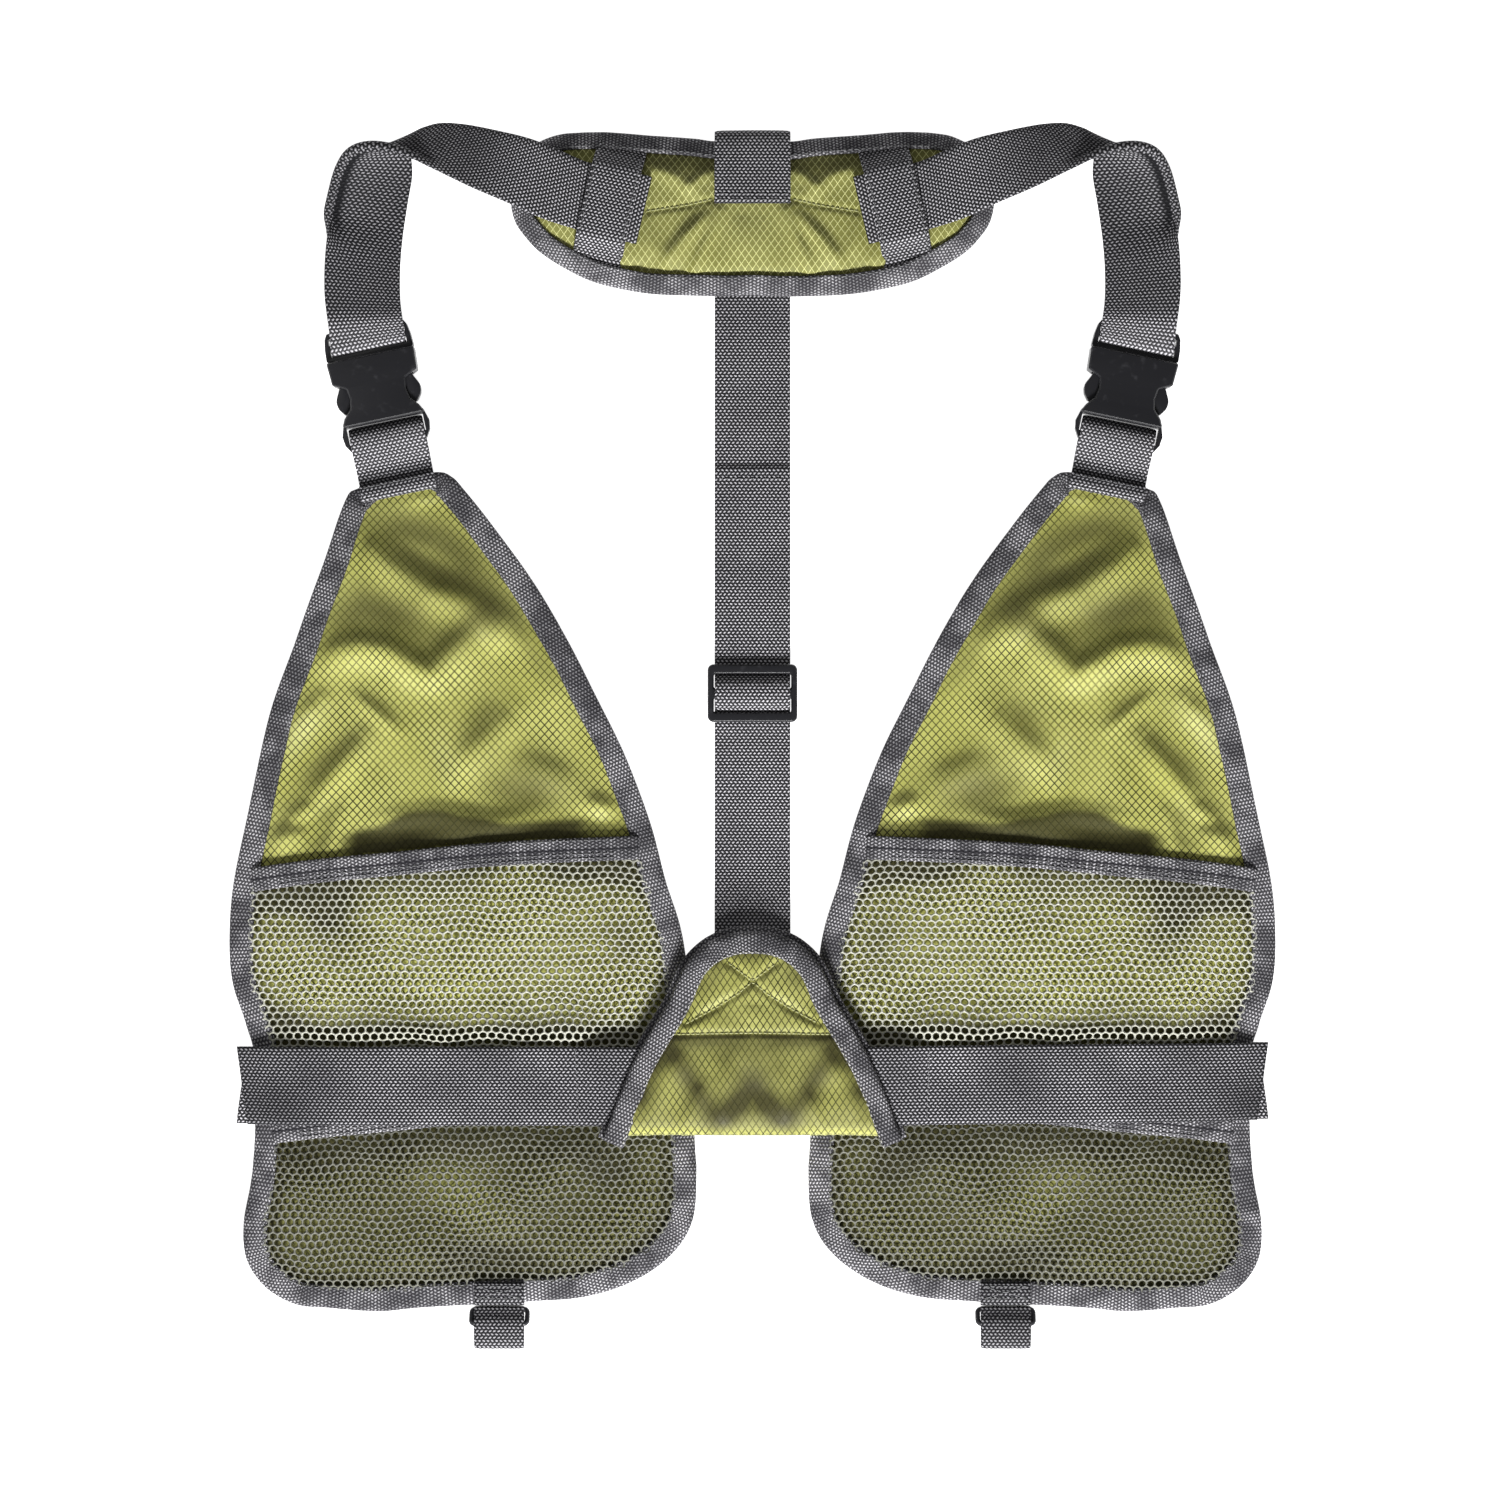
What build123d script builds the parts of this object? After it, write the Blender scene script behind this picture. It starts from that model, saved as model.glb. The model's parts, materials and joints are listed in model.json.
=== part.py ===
from build123d import *
import os

# Harness vest laid flat with its inner side up, in millimetres.
# X runs across the vest, Y up towards the neck yoke, Z up from the table.
# The vest is symmetric about X = 0, so outlines are given for the right half
# (positive X) and a side of -1 or +1 makes the left or the right piece.

SIDES = ((-1, "l"), (1, "r"))

# Webbing and tape stock
WIDE_WEBBING = 38.0
BELT_WEBBING = 39.0
NARROW_WEBBING = 25.0
WEBBING_THICKNESS = 1.6
LAYER_PITCH = 1.7
CLEARANCE = 0.3

# Front panels: bound cloth lying on the table
PANEL_BINDING_WIDTH = 12.0
PANEL_BINDING_TOP = 3.2
PANEL_CLOTH_BASE = 0.6
PANEL_CLOTH_THICKNESS = 2.0
PANEL_CLOTH_TOP = PANEL_CLOTH_BASE + PANEL_CLOTH_THICKNESS
PANEL_BINDING_WRAP = 1.5
PANEL_EDGE_RADIUS = 6.0
PANEL_EDGE = [
    (157, 135),
    (203, 124.5),
    (229.5, 50),
    (244, 11),
    (252, -27),
    (261, -70),
    (263, -100),
    (261, -125),
    (252.5, -148),
    (250.5, -205),
    (256, -246),
    (246, -274),
    (229, -285),
    (188, -288.5),
    (113, -283.5),
    (70, -278),
    (42, -262),
    (29.5, -238),
    (28.5, -200),
    (34, -113),
    (52, -40.5),
    (80, 24),
    (113, 83),
    (141, 121),
]

# Mesh pockets: low boxes of net on the panels, open towards the yoke
POCKET_ROOF_TOP = 9.2
POCKET_NET_THICKNESS = 1.2
POCKET_SLOPE = 0.085
UPPER_POCKET_MOUTH_Y = -60.0
UPPER_POCKET_FLOOR_Y = -176.0
LOWER_POCKET_MOUTH_Y = -186.0
LOWER_POCKET_FLOOR_Y = -320.0
POCKET_MIDDLE_X = 145.0
HEM_WIDTH = 12.0
HEM_BASE = 7.6
HEM_TOP = 9.9
HEM_GRIP = 8.0

# Waist belt
BELT_Y = -174.0
BELT_RUN_Z = 11.0
BELT_TUNNEL_Z = 13.2
BELT_END_Z = 4.3
BELT_END_X = 255.0
BELT_FOLD_LENGTH = 8.0

# Lumbar pad
LUMBAR_BOTTOM_Y = -199.7
LUMBAR_EDGE_RADIUS = 3.0
LUMBAR_EDGE = [(8, -96), (22, -102), (36, -116), (45, -137), (54.3, -150), (75.3, -199.7)]
LUMBAR_BASE = 10.1
LUMBAR_RIM_TOP = 17.0
LUMBAR_PAD_TOP = 20.0
LUMBAR_BINDING_WIDTH = 11.0
LUMBAR_BINDING_BASE = 15.2
LUMBAR_BINDING_TOP = 18.2
LUMBAR_TUNNEL = (-197.5, -150.5)
LUMBAR_TUNNEL_Z = (11.6, 14.8)
LUMBAR_FOAM_Z = (12.0, 18.4)

# Neck yoke
YOKE_EDGE_RADIUS = 5.0
YOKE_EDGE = [
    (20, 300),
    (52, 303),
    (75, 304.5),
    (96, 303.5),
    (112, 295),
    (121.5, 270),
    (114, 250),
    (91, 233.5),
    (50, 223),
    (17, 222),
]
YOKE_RIM_TOP = 4.8
YOKE_CLOTH_BASE = 0.7
YOKE_PAD_TOP = 12.2
YOKE_BINDING_WIDTH = 10.0
YOKE_BINDING_TOP = 5.6
YOKE_FOAM_Z = (5.0, 10.8)
YOKE_CHANNEL_TOP = 2.3
YOKE_CHANNEL_WIDTH = WIDE_WEBBING + 1.2

# Keepers: slanted webbing bands sewn over the strap ends on the yoke
KEEPER_MIDDLE = (72.0, 266.0)
KEEPER_AXIS = (-0.222, 0.975)

# Shoulder straps: (inner edge, outer edge, thickness) from the yoke to the buckle
STRAP_THICKNESS = 1.7
STRAP_SECTIONS = [
    ((53.0, 281.0, 14.1), (60.5, 248.0, 14.1), 2 * WEBBING_THICKNESS),
    ((94.0, 291.5, 14.0), (102.0, 254.5, 14.0), 2.0),
    ((112.0, 297.5, 15.5), (120.5, 262.0, 19.5), STRAP_THICKNESS),
    ((130.0, 302.5, 18.0), (142.0, 272.0, 29.0), STRAP_THICKNESS),
    ((150.0, 304.5, 18.5), (170.0, 284.0, 35.5), STRAP_THICKNESS),
    ((163.0, 300.0, 15.0), (189.0, 290.0, 35.0), STRAP_THICKNESS),
    ((169.0, 290.0, 11.5), (201.5, 283.0, 28.0), STRAP_THICKNESS),
    ((172.0, 272.5, 9.6), (207.5, 268.0, 19.5), STRAP_THICKNESS),
    ((175.0, 250.0, 9.2), (212.5, 247.0, 13.0), STRAP_THICKNESS),
    ((176.0, 228.0, 9.2), (214.0, 226.0, 10.2), STRAP_THICKNESS),
    ((174.7, 207.0, 9.2), (211.9, 199.2, 9.2), STRAP_THICKNESS),
    ((172.9, 198.6, 9.2), (210.1, 190.8, 9.2), STRAP_THICKNESS),
]

# Back strap and its slider
BACK_STRAP_LOW_Z = 0.95
BACK_STRAP_HIGH_Z = 2.7
TAIL_ENDS = (14.0, 132.0)
SLIDER_Y = 22.75
SLIDER_WIDTH = 45.0
SLIDER_LENGTH = 29.0
SLIDER_BASE = 3.8
SLIDER_THICKNESS = 3.4
SLIDER_SLOT_WIDTH = 38.8
SLIDER_SLOT_LENGTH = 7.2
SLIDER_SLOT_OFFSET = 6.0
HUMP_TOP_Z = 9.4

# Side-release buckles: local y runs from the female body to the strap
BUCKLE_MOUTH = (191.6, 192.25)
BUCKLE_TILT = 11.8
BUCKLE_THICKNESS = 11.0
FEMALE_EDGE = [
    (22.3, 0),
    (21.6, -11.5),
    (15.0, -14.8),
    (14.2, -20),
    (15.2, -25),
    (19.0, -29.2),
    (21.0, -33.5),
]
FEMALE_CORNER_RADIUS = 1.0
CAVITY_HALF_WIDTH = 19.2
CAVITY_Z = (2.4, 8.8)
CAVITY_DEPTH = 29.0
LOOP_EDGE = [(20.2, -31), (22.2, -37.5), (21.6, -42), (19.2, -46)]
LOOP_Z = (1.9, 6.8)
LOOP_SLOT_Y = (-42.2, -33.5)
WEBBING_SLOT_WIDTH = WIDE_WEBBING + 1.2
MALE_EDGE = [(22.2, 0.4), (21.8, 7), (20.9, 12), (19.4, 14.6)]
MALE_SLOT_LENGTH = 3.2
MALE_SLOTS_Y = (4.4, 10.0)
MALE_FRAME_Z = (0.6, 8.0)
MALE_CORE_Z = (2.8, 8.4)
MALE_BLOCK_Y = (-3.0, 1.0)
GUIDE_HALF_WIDTH = 4.0
GUIDE_END_Y = -27.0
ARM_PIVOT = (15.65, -5.0)
ARM_ROOT_RADIUS = 1.85
ARM_OUTER_EDGE = [(17.5, -5.0), (17.7, -9), (17.9, -12), (18.4, -15), (19.3, -18), (20.0, -21), (20.0, -24)]
ARM_TIP_EDGE = [(20.0, -24), (18.4, -27), (16.4, -27.4)]
ARM_INNER_EDGE = [(16.4, -27.4), (15.6, -24), (15.0, -17), (13.8, -9), (13.8, -5.0)]

# Bottom tabs and their rings
TAB_X = 127.1
TAB_TOP_Y = -273.0
TAB_HINGE_Y = -286.0
TAB_HINGE_Z = 5.0
TAB_END_Y = -305.6
RING_BAR_Y = -293.6
RING_BAR_Z = 6.1
RING_WIRE_RADIUS = 1.3
RING_EDGE = [(14.0, 0.0), (14.0, 8.0)]
RING_CORNER_RADIUS = 2.0
RING_TILT = 35.0


def placed(points, side):
    """Points of the right half, moved to the given side."""
    return [(side * x, y) for x, y in points]


def save(piece, name):
    """Label a finished piece and write its STEP file."""
    piece.part.label = name
    export_step(piece.part, f"parts/{name}.step")


def closed_outline(points, radius, inset):
    """A rounded closed outline, drawn inward by inset."""
    with BuildSketch(mode=Mode.PRIVATE) as outline:
        with BuildLine():
            FilletPolyline(*points, radius=radius, close=True)
        make_face()
        if inset:
            offset(amount=-inset)
    return outline.sketch


def panel_outline(side, inset=0.0):
    """One front panel's outline, from its top edge round by its outer edge."""
    return closed_outline(placed(PANEL_EDGE, side), PANEL_EDGE_RADIUS, inset)


def slanted_band(side, low_y, high_y):
    """A band across a panel between two parallel slanted lines."""
    reach = 150.0
    drop = reach * POCKET_SLOPE
    corners = [
        (POCKET_MIDDLE_X - reach, low_y + drop),
        (POCKET_MIDDLE_X + reach, low_y - drop),
        (POCKET_MIDDLE_X + reach, high_y - drop),
        (POCKET_MIDDLE_X - reach, high_y + drop),
    ]
    with BuildSketch(mode=Mode.PRIVATE) as band:
        Polygon(*placed(corners, side), align=None)
    return band.sketch


def mirrored_outline(points, radius, inset=0.0):
    """A closed outline whose right half is given and whose left half mirrors it."""
    return closed_outline(points + placed(points, -1)[::-1], radius, inset)


def yoke_outline(inset=0.0):
    """The neck yoke's crescent, drawn inward by inset."""
    return mirrored_outline(YOKE_EDGE, YOKE_EDGE_RADIUS, inset)


def lumbar_outline(inset=0.0):
    """The lumbar pad's rounded triangle, drawn inward by inset."""
    return mirrored_outline(LUMBAR_EDGE, LUMBAR_EDGE_RADIUS, inset)


def webbing_profile(points, radius=2.0):
    """The side view of a webbing run: a bent line given its thickness."""
    with BuildSketch(mode=Mode.PRIVATE) as profile:
        with BuildLine():
            FilletPolyline(*points, radius=radius)
        trace(line_width=WEBBING_THICKNESS)
    return profile.sketch


def upright_plane(origin, along):
    """A plane whose x runs along a level direction and whose y is +Z."""
    forward = Vector(*along)
    return Plane(origin=origin, x_dir=forward, z_dir=forward.cross(Vector(0, 0, 1)))


os.makedirs("parts", exist_ok=True)

# Front panels, their bindings, mesh pockets and pocket hems
for side, suffix in SIDES:
    with BuildPart() as panel_fabric:
        with BuildSketch(Plane.XY.offset(PANEL_CLOTH_BASE)):
            add(panel_outline(side, PANEL_BINDING_WRAP))
        extrude(amount=PANEL_CLOTH_THICKNESS)
    save(panel_fabric, f"panel_fabric_{suffix}")

    with BuildPart() as panel_binding:
        with BuildSketch():
            add(panel_outline(side))
            add(panel_outline(side, PANEL_BINDING_WIDTH), mode=Mode.SUBTRACT)
        extrude(amount=PANEL_BINDING_TOP)
        add(panel_fabric.part, mode=Mode.SUBTRACT)
    save(panel_binding, f"panel_binding_{suffix}")

    pockets = (
        ("upper", UPPER_POCKET_FLOOR_Y, UPPER_POCKET_MOUTH_Y),
        ("lower", LOWER_POCKET_FLOOR_Y, LOWER_POCKET_MOUTH_Y),
    )
    for place, floor_y, mouth_y in pockets:
        with BuildPart() as pocket_mesh:
            with BuildSketch(Plane.XY.offset(PANEL_CLOTH_TOP)):
                add(panel_outline(side, PANEL_BINDING_WIDTH + CLEARANCE))
                add(slanted_band(side, floor_y, mouth_y), mode=Mode.INTERSECT)
            extrude(amount=POCKET_ROOF_TOP - PANEL_CLOTH_TOP)
            with BuildSketch(Plane.XY.offset(PANEL_CLOTH_TOP)):
                add(panel_outline(side, PANEL_BINDING_WIDTH + CLEARANCE + POCKET_NET_THICKNESS))
                hollow = slanted_band(side, floor_y + POCKET_NET_THICKNESS, mouth_y + HEM_WIDTH)
                add(hollow, mode=Mode.INTERSECT)
            extrude(amount=POCKET_ROOF_TOP - PANEL_CLOTH_TOP - POCKET_NET_THICKNESS, mode=Mode.SUBTRACT)
        save(pocket_mesh, f"{place}_pocket_mesh_{suffix}")

        with BuildPart() as pocket_hem:
            with BuildSketch(Plane.XY.offset(HEM_BASE)):
                add(panel_outline(side, PANEL_BINDING_WIDTH + CLEARANCE))
                hem = slanted_band(side, mouth_y - HEM_GRIP, mouth_y - HEM_GRIP + HEM_WIDTH)
                add(hem, mode=Mode.INTERSECT)
            extrude(amount=HEM_TOP - HEM_BASE)
            add(pocket_mesh.part, mode=Mode.SUBTRACT)
        save(pocket_hem, f"{place}_pocket_hem_{suffix}")

# Waist belt: one webbing over all four pockets and through the lumbar pad
with BuildPart() as waist_belt:
    belt_half = [
        (BELT_END_X, BELT_END_Z),
        (247, BELT_END_Z),
        (240.5, BELT_RUN_Z),
        (97, BELT_RUN_Z),
        (83, BELT_TUNNEL_Z),
    ]
    with BuildSketch(Plane.XZ.offset(-BELT_Y)):
        add(webbing_profile(placed(belt_half, -1) + belt_half[::-1], radius=2.0))
        for side in (-1, 1):
            with Locations((side * (BELT_END_X - BELT_FOLD_LENGTH / 2), BELT_END_Z + LAYER_PITCH)):
                Rectangle(BELT_FOLD_LENGTH, WEBBING_THICKNESS + 0.2)
    extrude(amount=BELT_WEBBING / 2, both=True)
save(waist_belt, "waist_belt")

# Lumbar pad: cloth cover with the belt's tunnel, foam and side binding
with BuildPart() as lumbar_foam:
    with BuildSketch(Plane.XY.offset(LUMBAR_FOAM_Z[0])):
        add(lumbar_outline(LUMBAR_BINDING_WIDTH + 2))
        with Locations((0, LUMBAR_TUNNEL[1] + 2)):
            Rectangle(160, 100, align=(Align.CENTER, Align.MIN), mode=Mode.INTERSECT)
    extrude(amount=LUMBAR_FOAM_Z[1] - LUMBAR_FOAM_Z[0])
save(lumbar_foam, "lumbar_foam")

with BuildPart() as lumbar_cover:
    with BuildSketch(Plane.XY.offset(LUMBAR_BASE)):
        add(lumbar_outline())
    extrude(amount=LUMBAR_RIM_TOP - LUMBAR_BASE)
    with BuildSketch(Plane.XY.offset(LUMBAR_RIM_TOP)):
        add(lumbar_outline(LUMBAR_BINDING_WIDTH))
    extrude(amount=LUMBAR_PAD_TOP - LUMBAR_RIM_TOP)
    chamfer(lumbar_cover.edges().group_by(Axis.Z)[-1], length=1.5)
    with BuildSketch(Plane.YZ):
        with Locations((LUMBAR_TUNNEL[0], LUMBAR_TUNNEL_Z[0])):
            Rectangle(
                LUMBAR_TUNNEL[1] - LUMBAR_TUNNEL[0],
                LUMBAR_TUNNEL_Z[1] - LUMBAR_TUNNEL_Z[0],
                align=(Align.MIN, Align.MIN),
            )
    extrude(amount=90, both=True, mode=Mode.SUBTRACT)
    add(lumbar_foam.part, mode=Mode.SUBTRACT)
save(lumbar_cover, "lumbar_cover")

with BuildPart() as lumbar_binding:
    with BuildSketch(Plane.XY.offset(LUMBAR_BINDING_BASE)):
        add(lumbar_outline(-1.2))
        add(lumbar_outline(LUMBAR_BINDING_WIDTH - CLEARANCE), mode=Mode.SUBTRACT)
        with Locations((0, LUMBAR_BOTTOM_Y + 1)):
            Rectangle(200, 200, align=(Align.CENTER, Align.MIN), mode=Mode.INTERSECT)
        with Locations((0, LUMBAR_BOTTOM_Y)):
            Rectangle(100, 14, align=(Align.CENTER, Align.MIN), mode=Mode.SUBTRACT)
    extrude(amount=LUMBAR_BINDING_TOP - LUMBAR_BINDING_BASE)
    add(lumbar_cover.part, mode=Mode.SUBTRACT)
save(lumbar_binding, "lumbar_binding")

# Neck yoke: padded cover with a shallow channel for the back strap below it
with BuildPart() as yoke_foam:
    with BuildSketch(Plane.XY.offset(YOKE_FOAM_Z[0])):
        add(yoke_outline(YOKE_BINDING_WIDTH + 3))
    extrude(amount=YOKE_FOAM_Z[1] - YOKE_FOAM_Z[0])
save(yoke_foam, "yoke_foam")

with BuildPart() as yoke_cover:
    with BuildSketch(Plane.XY.offset(YOKE_CLOTH_BASE)):
        add(yoke_outline(PANEL_BINDING_WRAP))
    extrude(amount=YOKE_RIM_TOP - YOKE_CLOTH_BASE)
    with BuildSketch(Plane.XY.offset(YOKE_RIM_TOP)):
        add(yoke_outline(YOKE_BINDING_WIDTH + 0.5))
    extrude(amount=YOKE_PAD_TOP - YOKE_RIM_TOP)
    chamfer(yoke_cover.edges().group_by(Axis.Z)[-1], length=3.0)
    with Locations((0, 260, 0)):
        Box(YOKE_CHANNEL_WIDTH, 100, 2 * YOKE_CHANNEL_TOP, mode=Mode.SUBTRACT)
    add(yoke_foam.part, mode=Mode.SUBTRACT)
save(yoke_cover, "yoke_cover")

with BuildPart() as yoke_binding:
    with BuildSketch():
        add(yoke_outline())
        add(yoke_outline(YOKE_BINDING_WIDTH), mode=Mode.SUBTRACT)
    extrude(amount=YOKE_BINDING_TOP)
    add(yoke_cover.part, mode=Mode.SUBTRACT)
    with Locations((0, 260, 0)):
        Box(YOKE_CHANNEL_WIDTH, 100, 2 * YOKE_CHANNEL_TOP, mode=Mode.SUBTRACT)
save(yoke_binding, "yoke_binding")

# Back strap: up the back, under the yoke, over its top edge and down its front
with BuildPart() as back_strap:
    strap_run = [
        (-118, 9.0),
        (-88, 9.0),
        (-62, BACK_STRAP_LOW_Z),
        (2, BACK_STRAP_LOW_Z),
        (12, BACK_STRAP_HIGH_Z),
        (136, BACK_STRAP_HIGH_Z),
        (146, BACK_STRAP_LOW_Z),
        (304, BACK_STRAP_LOW_Z),
        (304, 5.8),
        (291, 13.4),
        (267.5, 13.4),
    ]
    with BuildSketch(Plane.YZ):
        add(webbing_profile(strap_run, radius=1.5))
    extrude(amount=WIDE_WEBBING / 2, both=True)
save(back_strap, "back_strap")

with BuildPart() as back_strap_tail:
    with BuildSketch(Plane.YZ):
        with Locations(((TAIL_ENDS[0] + TAIL_ENDS[1]) / 2, BACK_STRAP_LOW_Z)):
            Rectangle(TAIL_ENDS[1] - TAIL_ENDS[0], WEBBING_THICKNESS)
    extrude(amount=WIDE_WEBBING / 2, both=True)
save(back_strap_tail, "back_strap_tail")

# Slider: a three-bar frame riding on the back strap, with its webbing turn
with BuildPart() as slider_frame:
    with BuildSketch(Plane.XY.offset(SLIDER_BASE)):
        with Locations((0, SLIDER_Y)):
            RectangleRounded(SLIDER_WIDTH, SLIDER_LENGTH, 3.0)
        with Locations((0, SLIDER_Y - SLIDER_SLOT_OFFSET), (0, SLIDER_Y + SLIDER_SLOT_OFFSET)):
            RectangleRounded(SLIDER_SLOT_WIDTH, SLIDER_SLOT_LENGTH, 1.0, mode=Mode.SUBTRACT)
    extrude(amount=SLIDER_THICKNESS)
    chamfer(slider_frame.edges().group_by(Axis.Z)[-1], length=0.8)
save(slider_frame, "slider_frame")

with BuildPart() as slider_webbing:
    hump_run = [
        (SLIDER_Y - 7.6, SLIDER_BASE + 1.0),
        (SLIDER_Y - 4.6, HUMP_TOP_Z),
        (SLIDER_Y + 4.6, HUMP_TOP_Z),
        (SLIDER_Y + 7.6, SLIDER_BASE + 1.0),
    ]
    with BuildSketch(Plane.YZ):
        add(webbing_profile(hump_run, radius=2.0))
    extrude(amount=WIDE_WEBBING / 2, both=True)
save(slider_webbing, "slider_webbing")

# Shoulder straps: each lies on the yoke, leaves it outward, makes a rising
# half-twist and comes down to the buckle with its other face up
for side, suffix in SIDES:
    sections = []
    for inner, outer, thickness in STRAP_SECTIONS:
        edge_a = Vector(side * inner[0], inner[1], inner[2])
        edge_b = Vector(side * outer[0], outer[1], outer[2])
        sections.append((edge_a, edge_b, thickness))
    middles = [(section[0] + section[1]) * 0.5 for section in sections]
    with BuildPart() as shoulder_strap:
        for index, (edge_a, edge_b, thickness) in enumerate(sections):
            before = middles[max(index - 1, 0)]
            after = middles[min(index + 1, len(middles) - 1)]
            across = (edge_b - edge_a).normalized()
            along = (after - before).normalized()
            along = (along - across * along.dot(across)).normalized()
            with BuildSketch(Plane(origin=middles[index], x_dir=across, z_dir=along)):
                Rectangle(WIDE_WEBBING, thickness)
        loft(ruled=True)
    save(shoulder_strap, f"shoulder_strap_{suffix}")

# Keepers
for side, suffix in SIDES:
    with BuildPart() as yoke_keeper:
        keeper_run = [
            (-30, 13.2),
            (-22.5, 13.2),
            (-20.2, 17.6),
            (20.2, 17.6),
            (29.0, 14.0),
            (34.5, 7.2),
        ]
        middle = (side * KEEPER_MIDDLE[0], KEEPER_MIDDLE[1], 0)
        axis = (side * KEEPER_AXIS[0], KEEPER_AXIS[1], 0)
        with BuildSketch(upright_plane(middle, axis)):
            add(webbing_profile(keeper_run, radius=1.2))
        extrude(amount=NARROW_WEBBING / 2, both=True)
    save(yoke_keeper, f"yoke_keeper_{suffix}")

# Side-release buckles and the anchor straps that hold them to the panels
for side, suffix in SIDES:
    across = Vector(1, 0, 0).rotate(Axis.Z, -side * BUCKLE_TILT)
    mouth = Vector(side * BUCKLE_MOUTH[0], BUCKLE_MOUTH[1], 0)
    buckle = Plane(origin=mouth, x_dir=across, z_dir=(0, 0, 1))

    with BuildPart() as buckle_female:
        with BuildSketch(buckle):
            add(mirrored_outline(FEMALE_EDGE, FEMALE_CORNER_RADIUS))
        extrude(amount=BUCKLE_THICKNESS)
        chamfer(buckle_female.edges().group_by(Axis.Z)[-1], length=0.8)
        with BuildSketch(buckle.offset(LOOP_Z[0])):
            add(mirrored_outline(LOOP_EDGE, FEMALE_CORNER_RADIUS))
            with Locations((0, LOOP_SLOT_Y[0])):
                Rectangle(
                    WEBBING_SLOT_WIDTH,
                    LOOP_SLOT_Y[1] - LOOP_SLOT_Y[0],
                    align=(Align.CENTER, Align.MIN),
                    mode=Mode.SUBTRACT,
                )
        extrude(amount=LOOP_Z[1] - LOOP_Z[0])
        with BuildSketch(buckle.offset(CAVITY_Z[0])):
            with Locations((0, 1)):
                Rectangle(2 * CAVITY_HALF_WIDTH, CAVITY_DEPTH + 1, align=(Align.CENTER, Align.MAX))
        extrude(amount=CAVITY_Z[1] - CAVITY_Z[0], mode=Mode.SUBTRACT)
    save(buckle_female, f"buckle_female_{suffix}")

    with BuildPart() as buckle_male:
        with BuildSketch(buckle.offset(MALE_FRAME_Z[0])):
            add(mirrored_outline(MALE_EDGE, FEMALE_CORNER_RADIUS))
            with Locations(*[(0, y) for y in MALE_SLOTS_Y]):
                Rectangle(WEBBING_SLOT_WIDTH - 0.4, MALE_SLOT_LENGTH, mode=Mode.SUBTRACT)
        extrude(amount=MALE_FRAME_Z[1] - MALE_FRAME_Z[0])
        with BuildSketch(buckle.offset(MALE_CORE_Z[0])):
            with Locations((0, MALE_BLOCK_Y[1])):
                Rectangle(
                    2 * CAVITY_HALF_WIDTH - 1.2,
                    MALE_BLOCK_Y[1] - MALE_BLOCK_Y[0],
                    align=(Align.CENTER, Align.MAX),
                )
                Rectangle(
                    2 * GUIDE_HALF_WIDTH,
                    MALE_BLOCK_Y[1] - GUIDE_END_Y,
                    align=(Align.CENTER, Align.MAX),
                )
        extrude(amount=MALE_CORE_Z[1] - MALE_CORE_Z[0])
    save(buckle_male, f"buckle_male_{suffix}")

    for hand, hand_name in ((-1, "left"), (1, "right")):
        with BuildPart() as buckle_arm:
            with BuildSketch(buckle.offset(MALE_CORE_Z[0])):
                with BuildLine():
                    Spline(*placed(ARM_OUTER_EDGE, hand))
                    Polyline(*placed(ARM_TIP_EDGE, hand))
                    Polyline(*placed(ARM_INNER_EDGE, hand))
                    Line(*placed([ARM_INNER_EDGE[-1], ARM_OUTER_EDGE[0]], hand))
                make_face()
                with Locations((hand * ARM_PIVOT[0], ARM_PIVOT[1])):
                    Circle(ARM_ROOT_RADIUS)
            extrude(amount=MALE_CORE_Z[1] - MALE_CORE_Z[0])
        save(buckle_arm, f"buckle_{suffix}_arm_{hand_name}")

    with BuildPart() as anchor_strap:
        anchor_run = [
            (-70.5, 4.3),
            (-61.0, 4.3),
            (-48.5, 0.95),
            (-36.6, 0.95),
            (-35.4, 3.4),
            (-41.6, 7.8),
            (-48.5, 7.8),
            (-61.0, 6.0),
            (-70.5, 6.0),
        ]
        with BuildSketch(upright_plane(mouth, buckle.y_dir)):
            add(webbing_profile(anchor_run, radius=1.2))
        extrude(amount=WIDE_WEBBING / 2, both=True)
    save(anchor_strap, f"anchor_strap_{suffix}")

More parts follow.
